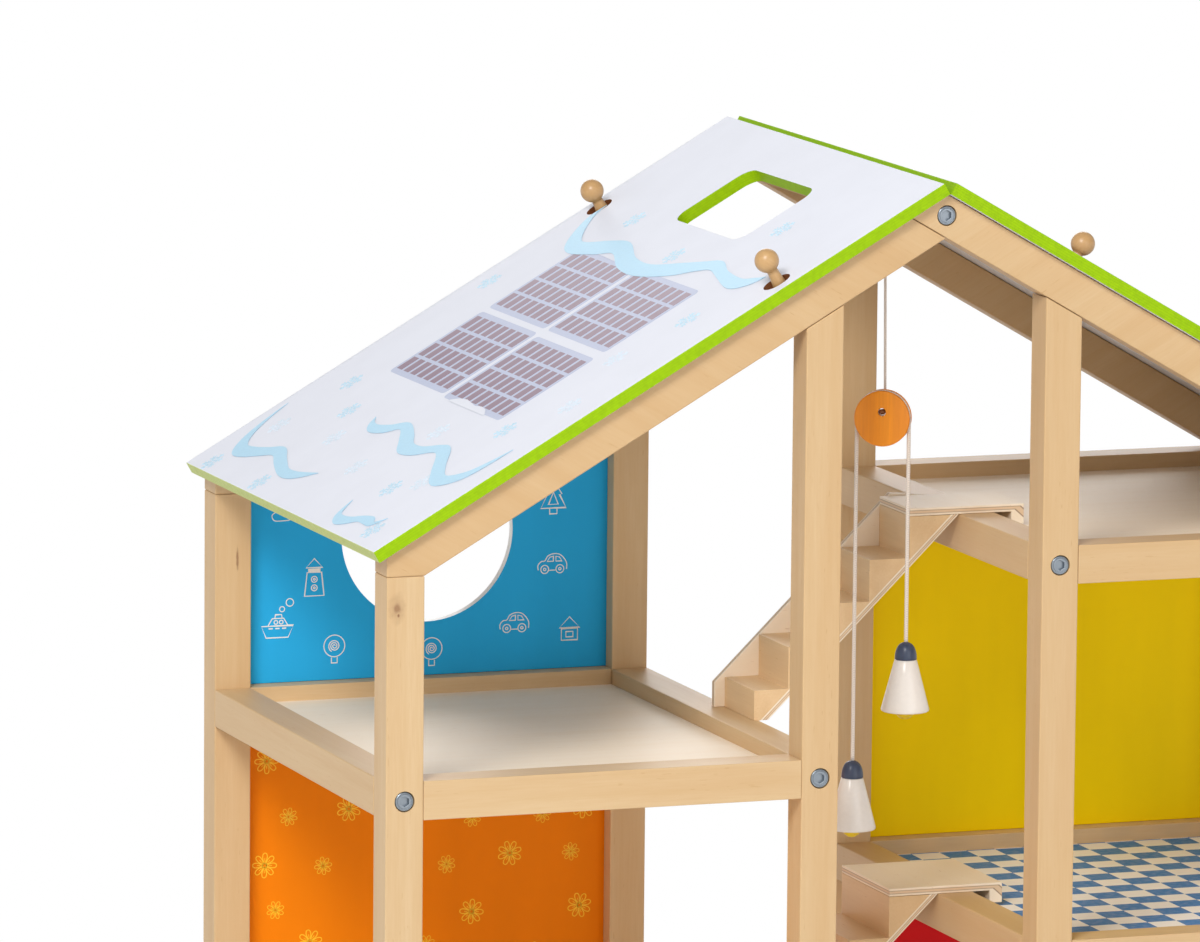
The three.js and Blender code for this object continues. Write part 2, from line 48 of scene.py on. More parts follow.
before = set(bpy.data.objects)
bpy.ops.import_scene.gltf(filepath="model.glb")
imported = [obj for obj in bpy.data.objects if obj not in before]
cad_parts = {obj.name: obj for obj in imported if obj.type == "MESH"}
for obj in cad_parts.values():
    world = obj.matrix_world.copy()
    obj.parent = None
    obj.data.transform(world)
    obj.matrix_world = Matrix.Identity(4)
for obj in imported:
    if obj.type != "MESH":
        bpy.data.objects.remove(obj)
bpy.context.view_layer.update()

MM = 0.001
PITCH = math.radians(30)
HOUSE = "house"
STOREYS = ("upper", "middle", "lower")
WINGS = ("left", "right")
FACES = ("front", "back")
PLACES = ("outer", "inner")
POSTS = [f"post_{face}_{wing}_{place}" for face in FACES for wing in WINGS for place in PLACES]
BOLTED_STICKS = POSTS + [f"rafter_{face}_right" for face in FACES]

# Corners nearer than WELD are joined, faces that turn less than FLAT become one, and edges that
# turn more than SHARP are rounded.
WELD = 0.002 * MM
FLAT = math.radians(0.6)
SHARP = math.radians(33)

COUNTERBORE = 5.2 * MM
WINDOW_RADIUS = 47 * MM
WINDOW_RISE = 75.5 * MM
SOFFIT = 3 * MM
LANDING = 4 * MM
STEP_EDGE = 0.22 * MM
STEP_GAP = 0.22 * MM
WHEEL_HALF = 4.5 * MM


# ---- Small helpers ----

def linear(code):
    """An sRGB hex value as linear red, green, blue."""
    channels = [int(code[i:i + 2], 16) / 255 for i in (1, 3, 5)]
    return tuple(c / 12.92 if c <= 0.04045 else ((c + 0.055) / 1.055) ** 2.4 for c in channels)


def hue(description, code):
    """A colour property with its default given as an sRGB hex value."""
    return FloatVectorProperty(name=description.split(",")[0].capitalize(), description=description,
                               subtype="COLOR", size=3, min=0, max=1, default=linear(code))


def length(description, millimetres):
    """A length property in metres, with its default given in millimetres."""
    return FloatProperty(name=description.split(",")[0].capitalize(), description=description,
                         default=millimetres * MM, min=0, unit="LENGTH", precision=5)


def link(obj):
    bpy.context.scene.collection.objects.link(obj)
    return obj


def mesh_from(bm, name):
    """A mesh object from a bmesh, which is freed."""
    mesh = bpy.data.meshes.new(name)
    bm.to_mesh(mesh)
    bm.free()
    return link(bpy.data.objects.new(name, mesh))


def dress(obj, body, slot, *materials, stands_for=()):
    """Gives a piece its materials, its body and the nodes that it stands for; the slot is not used."""
    for material in materials:
        obj.data.materials.append(material)
    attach(obj, body)
    if stands_for:
        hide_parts(*stands_for)
    return obj


def round_off(bm, centre, axis, radius, cuts=4):
    """Splits the flats of a round opening and moves the new corners out to its true radius."""
    def offset(vert):
        away = vert.co - centre
        return away - axis * away.dot(axis)

    rim = [e for e in bm.edges if all(abs(offset(v).length - radius) < 0.02 * radius for v in e.verts)
           and abs((e.verts[1].co - e.verts[0].co).normalized().dot(axis)) < 0.1]
    split = bmesh.ops.subdivide_edges(bm, edges=rim, cuts=cuts)
    for vert in {g for g in split["geom_inner"] if isinstance(g, bmesh.types.BMVert)}:
        away = offset(vert)
        vert.co += away * (radius / away.length - 1)


def rounded_copy(node, radius, shortest=0.006, seam=None, close=0.0, circles=()):
    """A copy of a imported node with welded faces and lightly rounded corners, as sanding leaves them.
    Edges under the shortest length keep sharp. The face that looks along the seam direction is
    glued: it keeps sharp edges too and moves to its neighbour by the closing distance. Each circle
    is a round opening's centre, axis and radius."""
    bm = bmesh.new()
    bm.from_mesh(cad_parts[node].data)
    bmesh.ops.remove_doubles(bm, verts=bm.verts, dist=WELD)
    bmesh.ops.dissolve_limit(bm, angle_limit=FLAT, verts=bm.verts, edges=bm.edges)
    glued = {f for f in bm.faces if seam is not None and f.normal.dot(seam) > 0.98}
    if close:
        bmesh.ops.translate(bm, verts=list({v for f in glued for v in f.verts}), vec=seam * close)
    sharp = [e for e in bm.edges if len(e.link_faces) == 2 and e.calc_face_angle(0) > SHARP
             and e.calc_length() > shortest and not glued.intersection(e.link_faces)]
    bmesh.ops.bevel(bm, geom=sharp, offset=radius, segments=2, profile=0.5,
                    affect="EDGES", clamp_overlap=True)
    for centre, axis, opening in circles:
        round_off(bm, Vector(centre), Vector(axis), opening)
    bmesh.ops.triangulate(bm, faces=[f for f in bm.faces if len(f.verts) > 4], ngon_method="EAR_CLIP")
    return mesh_from(bm, f"{node}_finished")


def write_attribute(obj, name, values):
    """Stores one number on each corner of a mesh."""
    obj.data.attributes.new(name, "FLOAT", "POINT").data.foreach_set("value", values)


def mark_board(obj, number):
    """Gives each piece of wood its own place in the plank, 0 to 1, so that grain never runs on."""
    write_attribute(obj, "board", [number * 0.618 % 1] * len(obj.data.vertices))


def lathe(name, profile, sides=64):
    """A turned piece about Z from points of radius and height, closed at the axis."""
    bm = bmesh.new()
    rings = []
    for radius, height in profile:
        if radius < 1e-7:
            rings.append([bm.verts.new((0, 0, height))])
            continue
        turn = 2 * math.pi / sides
        rings.append([bm.verts.new((radius * math.cos(i * turn), radius * math.sin(i * turn), height))
                      for i in range(sides)])
    for low, high in zip(rings, rings[1:]):
        for i in range(sides):
            j = (i + 1) % sides
            corners = [low[i % len(low)], low[j % len(low)], high[j % len(high)], high[i % len(high)]]
            face = list(dict.fromkeys(corners))
            if len(face) > 2:
                bm.faces.new(face)
    if rings[0] != rings[-1] and len(rings[0]) > 1 and len(rings[-1]) > 1:
        for i in range(sides):
            j = (i + 1) % sides
            bm.faces.new([rings[-1][i], rings[-1][j], rings[0][j], rings[0][i]])
    bmesh.ops.recalc_face_normals(bm, faces=bm.faces)
    for face in bm.faces:
        face.smooth = True
    return mesh_from(bm, name)


def arc(cx, cy, radius, start, end, steps):
    """Points on an arc, with angles in degrees."""
    angles = [math.radians(start + (end - start) * i / steps) for i in range(steps + 1)]
    return [(cx + radius * math.cos(a), cy + radius * math.sin(a)) for a in angles]


def smooth_line(points, per_span=6, closed=False):
    """A Catmull-Rom line through points of any length."""
    count = len(points)
    spans = count if closed else count - 1
    line = []
    for i in range(spans):
        pick = [points[k % count if closed else min(max(k, 0), count - 1)]
                for k in range(i - 1, i + 3)]
        for step in range(per_span):
            t = step / per_span
            line.append(tuple(0.5 * (2 * b + (c - a) * t + (2 * a - 5 * b + 4 * c - d) * t * t
                                     + (3 * b - a - 3 * c + d) * t ** 3) for a, b, c, d in zip(*pick)))
    if not closed:
        line.append(tuple(points[-1]))
    return line


def tube(name, path, radius, sides=12):
    """A closed round tube along a path, with a UV map that runs round and along it in metres."""
    bm = bmesh.new()
    uv = bm.loops.layers.uv.new("along")
    points = [Vector(p) for p in path]
    side = Vector((1, 0, 0)) if abs((points[1] - points[0]).normalized().x) < 0.8 else Vector((0, 1, 0))
    rings, run, distance = [], 0.0, []
    for i, point in enumerate(points):
        before, after = points[max(i - 1, 0)], points[min(i + 1, len(points) - 1)]
        forward = (after - before).normalized()
        side = (side - forward * side.dot(forward)).normalized()
        across = forward.cross(side)
        run += (point - before).length if i else 0
        distance.append(run)
        rings.append([bm.verts.new(point + radius * (side * math.cos(a) + across * math.sin(a)))
                      for a in (2 * math.pi * k / sides for k in range(sides))])
    for i, (low, high) in enumerate(zip(rings, rings[1:])):
        for k in range(sides):
            j = (k + 1) % sides
            face = bm.faces.new([low[k], low[j], high[j], high[k]])
            face.smooth = True
            for loop, (u, v) in zip(face.loops, [(k, i), (k + 1, i), (k + 1, i + 1), (k, i + 1)]):
                loop[uv].uv = (u / sides, distance[v])
    bm.faces.new(list(reversed(rings[0])))
    bm.faces.new(rings[-1])
    return mesh_from(bm, name)


# ---- Printed art ----
# Ink is made as flat slabs, thin enough to read as print, just clear of the face that it is on.
# Outlines are in millimetres on the printed face, and a placing matrix puts the face in the house.

INK = 0.1 * MM
PRINT_GAP = 0.02 * MM


class Print:
    """Collects filled outlines and strokes on one flat face and makes one closed mesh of them.
    Outlines are placed and sized by the pen's own origin and scale."""

    def __init__(self):
        self.bm = bmesh.new()
        self.origin, self.scale = (0, 0), 1.0

    def at(self, x, y, scale):
        self.origin, self.scale = (x, y), scale
        return self

    def put(self, x, y, height):
        across, up = (self.origin[0] + x * self.scale) * MM, (self.origin[1] + y * self.scale) * MM
        return self.bm.verts.new((across, up, height))

    def fill(self, outline, lift=0.0):
        low = [self.put(x, y, lift * MM) for x, y in outline]
        high = [self.put(x, y, lift * MM + INK) for x, y in outline]
        self.bm.faces.new(list(reversed(low)))
        self.bm.faces.new(high)
        for i in range(len(outline)):
            j = (i + 1) % len(outline)
            self.bm.faces.new([low[i], low[j], high[j], high[i]])

    def stroke(self, line, width, closed=False):
        """A line of even width, as a row of quads that share their corners."""
        points = [Vector(p) for p in line]
        count = len(points)
        rows = []
        for i, point in enumerate(points):
            before = points[i - 1] if closed or i else point
            after = points[(i + 1) % count] if closed or i < count - 1 else point
            forward = (after - before).normalized()
            one = (point - before).normalized() if (point - before).length else forward
            across = Vector((-forward.y, forward.x)) / max(0.5, abs(one.dot(forward)))
            corners = []
            for height in (0, INK):
                for reach in (-0.5, 0.5):
                    flat = point + across * (reach * width)
                    corners.append(self.put(flat.x, flat.y, height))
            rows.append(corners)
        pairs = list(zip(rows, rows[1:])) + ([(rows[-1], rows[0])] if closed else [])
        for (a, b, c, d), (e, f, g, h) in pairs:
            for face in ([a, e, f, b], [c, d, h, g], [a, c, g, e], [b, f, h, d]):
                self.bm.faces.new(face)
        if not closed:
            a, b, c, d = rows[0]
            self.bm.faces.new([a, b, d, c])
            a, b, c, d = rows[-1]
            self.bm.faces.new([a, c, d, b])

    def ring(self, cx, cy, radius, width, steps=20):
        self.stroke(arc(cx, cy, radius, 0, 360 * (1 - 1 / steps), steps - 1), width, closed=True)

    def make(self, name, place=None):
        bmesh.ops.recalc_face_normals(self.bm, faces=self.bm.faces)
        obj = mesh_from(self.bm, name)
        if place is not None:
            obj.data.transform(place)
        return obj


def placing(across, up, out, origin):
    """A matrix that sets a piece's X, Y and Z along three directions from an origin."""
    return Matrix([[across[i], up[i], out[i], origin[i]] for i in range(3)] + [[0, 0, 0, 1]])


def slope(wing):
    """A roof side's sign in X, and its directions down the slope and out of the roof."""
    sign = -1 if wing == "left" else 1
    down = Vector((sign * math.cos(PITCH), 0, -math.sin(PITCH)))
    out = Vector((sign * math.sin(PITCH), 0, math.cos(PITCH)))
    return sign, down, out


def wall_place(node):
    """The front face of a back wall: outlines in X and Z from the house's own origin."""
    low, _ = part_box(node)
    return placing((1, 0, 0), (0, 0, 1), (0, -1, 0), (0, low.y - PRINT_GAP, 0))


def roof_place(wing):
    """The top face of a roof panel: X runs down the slope from the ridge and Y to the back."""
    low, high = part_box(f"roof_panel_{wing}")
    sign, down, out = slope(wing)
    inner = high.x if wing == "left" else low.x
    thickness = bpy.context.scene.dollhouse_roof.panel_thickness
    corner = Vector((inner + sign * thickness * math.sin(PITCH), 0, high.z)) + out * PRINT_GAP
    return placing(down, (0, 1, 0), out, corner)


# ---- Geometry Nodes ----

def grow(name, tree, points=None, **inputs):
    """Runs a node tree on loose points, or on nothing, and keeps the result as a plain mesh object."""
    mesh = bpy.data.meshes.new(name)
    obj = link(bpy.data.objects.new(name, mesh))
    if points is not None:
        places, turns, sizes = points
        mesh.from_pydata(places, [], [])
        turn = mesh.attributes.new("turn", "FLOAT_VECTOR", "POINT")
        turn.data.foreach_set("vector", [part for angles in turns for part in angles])
        size = mesh.attributes.new("size", "FLOAT", "POINT")
        size.data.foreach_set("value", sizes)
    modifier = obj.modifiers.new("grow", "NODES")
    modifier.node_group = tree
    sockets = {item.name: item.identifier for item in tree.interface.items_tree if item.in_out == "INPUT"}
    for key, value in inputs.items():
        modifier[sockets[key]] = value
    evaluated = obj.evaluated_get(bpy.context.evaluated_depsgraph_get())
    grown = bpy.data.meshes.new_from_object(evaluated)
    obj.modifiers.remove(modifier)
    obj.data = grown
    grown.name = name
    grown.materials.clear()
    return obj


def add(tree, kind, inputs=None, **settings):
    """Adds a node with its settings. Each input is a value or another node's output socket."""
    new = tree.nodes.new(kind)
    for key, value in settings.items():
        setattr(new, key, value)
    for key, value in (inputs or {}).items():
        if isinstance(value, bpy.types.NodeSocket):
            tree.links.new(value, new.inputs[key])
        else:
            new.inputs[key].default_value = value
    return new


def scatter_tree(name):
    """Sets a copy of one piece on each point, turned and sized by the point's own attributes."""
    tree = bpy.data.node_groups.new(name, "GeometryNodeTree")
    tree.interface.new_socket("Geometry", in_out="INPUT", socket_type="NodeSocketGeometry")
    tree.interface.new_socket("Piece", in_out="INPUT", socket_type="NodeSocketObject")
    tree.interface.new_socket("Finish", in_out="INPUT", socket_type="NodeSocketMaterial")
    tree.interface.new_socket("Geometry", in_out="OUTPUT", socket_type="NodeSocketGeometry")
    entry = add(tree, "NodeGroupInput")
    piece = add(tree, "GeometryNodeObjectInfo", {"Object": entry.outputs["Piece"], "As Instance": True})
    turn = add(tree, "GeometryNodeInputNamedAttribute", {"Name": "turn"}, data_type="FLOAT_VECTOR")
    size = add(tree, "GeometryNodeInputNamedAttribute", {"Name": "size"}, data_type="FLOAT")
    rotation = add(tree, "FunctionNodeEulerToRotation", {"Euler": turn.outputs["Attribute"]})
    copies = add(tree, "GeometryNodeInstanceOnPoints", {
        "Points": entry.outputs["Geometry"], "Instance": piece.outputs["Geometry"],
        "Rotation": rotation.outputs["Rotation"], "Scale": size.outputs["Attribute"]})
    real = add(tree, "GeometryNodeRealizeInstances", {"Geometry": copies.outputs["Instances"]})
    finish = add(tree, "GeometryNodeSetMaterial", {
        "Geometry": real.outputs["Geometry"], "Material": entry.outputs["Finish"]})
    add(tree, "NodeGroupOutput", {"Geometry": finish.outputs["Geometry"]})
    return tree


def cell_tree(name):
    """A grid of flat cells, centred on the origin."""
    tree = bpy.data.node_groups.new(name, "GeometryNodeTree")
    for label, kind in (("Columns", "NodeSocketInt"), ("Rows", "NodeSocketInt"),
                        ("Pitch X", "NodeSocketFloat"), ("Pitch Y", "NodeSocketFloat"),
                        ("Cell", "NodeSocketVector"), ("Finish", "NodeSocketMaterial")):
        tree.interface.new_socket(label, in_out="INPUT", socket_type=kind)
    tree.interface.new_socket("Geometry", in_out="OUTPUT", socket_type="NodeSocketGeometry")
    entry = add(tree, "NodeGroupInput")
    spans = {}
    for axis, count in (("X", "Columns"), ("Y", "Rows")):
        gaps = add(tree, "ShaderNodeMath", {0: entry.outputs[count], 1: 1.0}, operation="SUBTRACT")
        spans[axis] = add(tree, "ShaderNodeMath", {
            0: gaps.outputs[0], 1: entry.outputs[f"Pitch {axis}"]}, operation="MULTIPLY")
    grid = add(tree, "GeometryNodeMeshGrid", {
        "Size X": spans["X"].outputs[0], "Size Y": spans["Y"].outputs[0],
        "Vertices X": entry.outputs["Columns"], "Vertices Y": entry.outputs["Rows"]})
    cell = add(tree, "GeometryNodeMeshCube", {"Size": entry.outputs["Cell"]})
    copies = add(tree, "GeometryNodeInstanceOnPoints", {
        "Points": grid.outputs["Mesh"], "Instance": cell.outputs["Mesh"]})
    real = add(tree, "GeometryNodeRealizeInstances", {"Geometry": copies.outputs["Instances"]})
    finish = add(tree, "GeometryNodeSetMaterial", {
        "Geometry": real.outputs["Geometry"], "Material": entry.outputs["Finish"]})
    add(tree, "NodeGroupOutput", {"Geometry": finish.outputs["Geometry"]})
    return tree


# ---- Materials ----

def shader(name, **sockets):
    """A material with a Principled shader; returns the material, its tree and the shader node."""
    material = bpy.data.materials.new(name)
    material.use_nodes = True
    tree = material.node_tree
    principled = tree.nodes["Principled BSDF"]
    for key, value in sockets.items():
        principled.inputs[key.replace("_", " ")].default_value = value
    return material, tree, principled


def rgba(colour):
    return (*colour, 1)


def object_place(tree, turn=0.0, scale=(1, 1, 1), offset=(0, 0, 0)):
    """Object coordinates, turned about Y and then stretched."""
    place = add(tree, "ShaderNodeTexCoord").outputs["Object"]
    if turn:
        place = add(tree, "ShaderNodeVectorRotate", {"Vector": place, "Angle": turn},
                    rotation_type="Y_AXIS").outputs["Vector"]
    stretched = add(tree, "ShaderNodeMapping", {"Vector": place, "Scale": scale, "Location": offset})
    return stretched.outputs["Vector"]


def blend_colour(tree, factor, first, second):
    """Mixes two colours, each a value or a socket, by a factor."""
    mix = add(tree, "ShaderNodeMix", data_type="RGBA")
    for key, value in ((0, factor), (6, first), (7, second)):
        if isinstance(value, bpy.types.NodeSocket):
            tree.links.new(value, mix.inputs[key])
        else:
            mix.inputs[key].default_value = value
    return mix.outputs[2]


GRAINS = {
    "x": (0.0, (0.05, 1, 1)),
    "y": (0.0, (1, 0.05, 1)),
    "z": (0.0, (1, 1, 0.05)),
    "slope_left": (-PITCH, (0.05, 1, 1)),
    "slope_right": (PITCH, (0.05, 1, 1)),
}


def wood_tone(tree, grain, pale, deep, fleck, contrast=1.0):
    """Colour of sanded pale hardwood: soft bands of growth about 10 mm wide, fine fibres along the
    grain about 1 mm apart, and short pores. The attribute board moves each piece to its own place
    in the plank and shifts its tone a little. Returns the colour socket and the fibre socket."""
    turn, stretch = GRAINS[grain]
    board = add(tree, "ShaderNodeAttribute", attribute_name="board").outputs["Fac"]
    place = object_place(tree, turn, stretch)
    place = add(tree, "ShaderNodeVectorMath", {0: board, 1: (0.7, 0.9, 0.8), 2: place},
                operation="MULTIPLY_ADD").outputs["Vector"]
    bands = add(tree, "ShaderNodeTexNoise", {"Vector": place, "Scale": 95, "Detail": 3, "Roughness": 0.5,
                                             "Distortion": 0.4})
    fibres = add(tree, "ShaderNodeTexNoise", {"Vector": place, "Scale": 900, "Detail": 4, "Roughness": 0.6})
    band_ramp = add(tree, "ShaderNodeMapRange", {"Value": bands.outputs["Fac"], "From Min": 0.35,
                                                 "From Max": 0.75, "To Max": 0.5 * contrast})
    tone = blend_colour(tree, band_ramp.outputs["Result"], rgba(pale), rgba(deep))
    own = add(tree, "ShaderNodeMath", {0: board, 1: 0.35 * contrast}, operation="MULTIPLY").outputs[0]
    tone = blend_colour(tree, own, tone, rgba(deep))
    fibre_ramp = add(tree, "ShaderNodeMapRange", {"Value": fibres.outputs["Fac"], "From Min": 0.35,
                                                  "From Max": 0.75, "To Max": 0.3 * contrast})
    tone = blend_colour(tree, fibre_ramp.outputs["Result"], tone, rgba(deep))
    short = object_place(tree, turn, [0.12 if s < 1 else 1 for s in stretch], (3.1, 1.7, 0.4))
    pores = add(tree, "ShaderNodeTexNoise", {"Vector": short, "Scale": 1300, "Detail": 1})
    patch = add(tree, "ShaderNodeTexNoise", {"Vector": place, "Scale": 300, "Detail": 1})
    pore_ramp = add(tree, "ShaderNodeMapRange", {"Value": pores.outputs["Fac"], "From Min": 0.68,
                                                 "From Max": 0.76})
    gate = add(tree, "ShaderNodeMapRange", {"Value": patch.outputs["Fac"], "From Min": 0.5,
                                            "From Max": 0.65, "To Max": 0.45})
    amount = add(tree, "ShaderNodeMath", {0: pore_ramp.outputs["Result"], 1: gate.outputs["Result"]},
                 operation="MULTIPLY")
    return blend_colour(tree, amount.outputs[0], tone, rgba(fleck)), fibres.outputs["Fac"]


# Knots and mineral streaks in the posts: middle in metres, half length and half width in
# millimetres, and strength.
KNOTS = (
    ((-0.2862, -0.149, 0.5345), 2.6, 1.7, 0.6), ((-0.2862, -0.149, 0.5345), 7.0, 4.2, 0.28),
    ((-0.2855, -0.149, 0.531), 1.0, 0.7, 0.9), ((-0.2795, 0.13, 0.516), 6.0, 0.7, 0.7),
    ((0.0585, -0.149, 0.252), 3.4, 2.0, 0.4), ((0.2795, -0.149, 0.095), 5.0, 1.0, 0.5),
)


def add_knots(tree, tone, dark):
    """Mixes dark knots and streaks into a stick's colour."""
    place = add(tree, "ShaderNodeTexCoord").outputs["Object"]
    wobble = add(tree, "ShaderNodeTexNoise", {"Vector": place, "Scale": 320, "Detail": 3})
    for middle, long, wide, strength in KNOTS:
        offset = add(tree, "ShaderNodeVectorMath", {0: place, 1: middle}, operation="SUBTRACT")
        sized = add(tree, "ShaderNodeVectorMath", {
            0: offset.outputs["Vector"], 1: (1 / (wide * MM), 1 / (wide * 2 * MM), 1 / (long * MM))},
            operation="MULTIPLY")
        far = add(tree, "ShaderNodeVectorMath", {0: sized.outputs["Vector"]}, operation="LENGTH")
        rough = add(tree, "ShaderNodeMath", {0: wobble.outputs["Fac"], 1: far.outputs["Value"]},
                    operation="ADD")
        ramp = add(tree, "ShaderNodeMapRange", {"Value": rough.outputs[0], "From Min": 1.0, "From Max": 1.7,
                                                "To Min": strength, "To Max": 0})
        tone = blend_colour(tree, ramp.outputs["Result"], tone, rgba(dark))
    return tone


def bump(tree, principled, height, depth_mm, strength=0.5):
    relief = add(tree, "ShaderNodeBump", {"Height": height, "Distance": depth_mm * MM, "Strength": strength})
    tree.links.new(relief.outputs["Normal"], principled.inputs["Normal"])


def lacquered_wood(name, grain, pale, deep):
    """Sanded maple or birch under clear satin lacquer: pale, even, with a soft sheen."""
    colours = bpy.context.scene.dollhouse_wood
    material, tree, principled = shader(name, Roughness=0.5, Coat_Weight=0.1,
                                        Coat_Roughness=0.3, Specular_IOR_Level=0.3)
    tone, fibres = wood_tone(tree, grain, pale, deep, colours.fleck)
    if grain == "z":
        tone = add_knots(tree, tone, colours.knot)
    tree.links.new(tone, principled.inputs["Base Color"])
    bump(tree, principled, fibres, 0.04)
    return material


def birch_plywood(grain):
    """Rotary-cut birch plywood: pale face veneer, and plies with dark glue lines on the edges.
    The attribute ply runs from 0 to 1 through the board."""
    colours = bpy.context.scene.dollhouse_wood
    material, tree, principled = shader(f"birch_plywood_{grain}", Roughness=0.55, Coat_Weight=0.08,
                                        Coat_Roughness=0.4, Specular_IOR_Level=0.35)
    tone, fibres = wood_tone(tree, grain, colours.veneer, colours.veneer_deep, colours.fleck, 0.6)
    ply = add(tree, "ShaderNodeAttribute", attribute_name="ply").outputs["Fac"]
    centred = add(tree, "ShaderNodeMath", {0: ply, 1: 0.5}, operation="SUBTRACT")
    distance = add(tree, "ShaderNodeMath", {0: centred.outputs[0]}, operation="ABSOLUTE")
    core = add(tree, "ShaderNodeMapRange", {"Value": distance.outputs[0], "From Min": 0.14,
                                            "From Max": 0.18, "To Min": 0.55, "To Max": 0})
    tone = blend_colour(tree, core.outputs["Result"], tone, rgba(colours.ply_core))
    off = add(tree, "ShaderNodeMath", {0: distance.outputs[0], 1: 0.19}, operation="SUBTRACT")
    near = add(tree, "ShaderNodeMath", {0: off.outputs[0]}, operation="ABSOLUTE")
    glue = add(tree, "ShaderNodeMapRange", {"Value": near.outputs[0], "From Min": 0.02,
                                            "From Max": 0.06, "To Min": 0.75, "To Max": 0})
    tone = blend_colour(tree, glue.outputs["Result"], tone, rgba(colours.glue))
    tree.links.new(tone, principled.inputs["Base Color"])
    bump(tree, principled, fibres, 0.03)
    return material


def printed_film(name, colour, mottle=0.03):
    """Satin printed film over plywood: an even colour with a trace of the grain under it."""
    material, tree, principled = shader(name, Roughness=0.5, Coat_Weight=0.02, Coat_Roughness=0.25,
                                        Specular_IOR_Level=0.06)
    place = object_place(tree, 0.0, (1, 1, 0.15))
    cloud = add(tree, "ShaderNodeTexNoise", {"Vector": place, "Scale": 40, "Detail": 3})
    darker = tuple(c * (1 - mottle * 3) for c in colour)
    ramp = add(tree, "ShaderNodeMapRange", {"Value": cloud.outputs["Fac"], "From Min": 0.35, "From Max": 0.7,
                                            "To Max": 0.6})
    tone = blend_colour(tree, ramp.outputs["Result"], rgba(colour), rgba(darker))
    tree.links.new(tone, principled.inputs["Base Color"])
    grain = add(tree, "ShaderNodeTexNoise", {"Vector": place, "Scale": 1500, "Detail": 2})
    bump(tree, principled, grain.outputs["Fac"], 0.02, 0.4)
    return material


def ink(name, colour, roughness=0.4):
    """Printing ink, flat and slightly uneven where it took."""
    material, tree, principled = shader(name, Roughness=roughness, Specular_IOR_Level=0.4)
    speck = add(tree, "ShaderNodeTexNoise", {"Vector": object_place(tree), "Scale": 700, "Detail": 2})
    ramp = add(tree, "ShaderNodeMapRange", {"Value": speck.outputs["Fac"], "From Min": 0.4, "From Max": 0.8,
                                            "To Max": 0.35})
    worn = tuple(c * 0.85 for c in colour)
    tone = blend_colour(tree, ramp.outputs["Result"], rgba(colour), rgba(worn))
    tree.links.new(tone, principled.inputs["Base Color"])
    return material


def stained_edge(name, colour, line):
    """Plywood edge under translucent stain, so that the plies show as faint darker lines."""
    material, tree, principled = shader(name, Roughness=0.5, Specular_IOR_Level=0.15)
    ply = add(tree, "ShaderNodeAttribute", attribute_name="ply").outputs["Fac"]
    waves = add(tree, "ShaderNodeMath", {0: ply, 1: 5 * math.tau}, operation="MULTIPLY")
    wave = add(tree, "ShaderNodeMath", {0: waves.outputs[0]}, operation="COSINE")
    ramp = add(tree, "ShaderNodeMapRange", {"Value": wave.outputs[0], "From Min": 0.55, "From Max": 1,
                                            "To Max": 0.45})
    speck = add(tree, "ShaderNodeTexNoise", {"Vector": object_place(tree), "Scale": 420, "Detail": 3})
    mottle = add(tree, "ShaderNodeMapRange", {"Value": speck.outputs["Fac"], "From Min": 0.35,
                                              "From Max": 0.75, "To Max": 0.5})
    tone = blend_colour(tree, ramp.outputs["Result"], rgba(colour), rgba(line))
    tone = blend_colour(tree, mottle.outputs["Result"], tone, rgba(line))
    tree.links.new(tone, principled.inputs["Base Color"])
    return material


def tiled_floor():
    """Printed kitchen floor: blue and off-white squares, 16 mm each, on the floor board."""
    colours = bpy.context.scene.dollhouse_walls
    material, tree, principled = shader("printed_tile_floor", Roughness=0.5, Specular_IOR_Level=0.2)
    place = object_place(tree, 0.0, (1, 1, 0), (0.0, 0.0, 0.25))
    checks = add(tree, "ShaderNodeTexChecker", {
        "Vector": place, "Color1": rgba(colours.tile_blue), "Color2": rgba(colours.tile_white),
        "Scale": 1 / (16 * MM)})
    speck = add(tree, "ShaderNodeTexNoise", {"Vector": object_place(tree), "Scale": 300, "Detail": 3})
    ramp = add(tree, "ShaderNodeMapRange", {"Value": speck.outputs["Fac"], "From Min": 0.4, "From Max": 0.8,
                                            "To Max": 0.15})
    tone = blend_colour(tree, ramp.outputs["Result"], checks.outputs["Color"], rgba(colours.tile_white))
    tree.links.new(tone, principled.inputs["Base Color"])
    return material


def turned_wood(name, pale, deep, grain):
    """Small turned piece: the plank's grain shows as bands and end-grain specks across it."""
    material, tree, principled = shader(name, Roughness=0.4, Coat_Weight=0.25, Coat_Roughness=0.25,
                                        Specular_IOR_Level=0.45)
    tone, fibres = wood_tone(tree, grain, pale, deep, deep)
    tree.links.new(tone, principled.inputs["Base Color"])
    bump(tree, principled, fibres, 0.03)
    return material


def lacquer(name, colour, roughness=0.3):
    """Opaque sprayed lacquer on turned wood: smooth, with a faint orange-peel ripple."""
    material, tree, principled = shader(name, Roughness=roughness, Coat_Weight=0.3, Coat_Roughness=0.2)
    ripple = add(tree, "ShaderNodeTexNoise", {"Vector": object_place(tree), "Scale": 450, "Detail": 2})
    ramp = add(tree, "ShaderNodeMapRange", {"Value": ripple.outputs["Fac"], "From Min": 0.3, "From Max": 0.8,
                                            "To Max": 0.3})
    tone = blend_colour(tree, ramp.outputs["Result"], rgba(colour), rgba(tuple(c * 0.86 for c in colour)))
    tree.links.new(tone, principled.inputs["Base Color"])
    bump(tree, principled, ripple.outputs["Fac"], 0.02, 0.3)
    return material


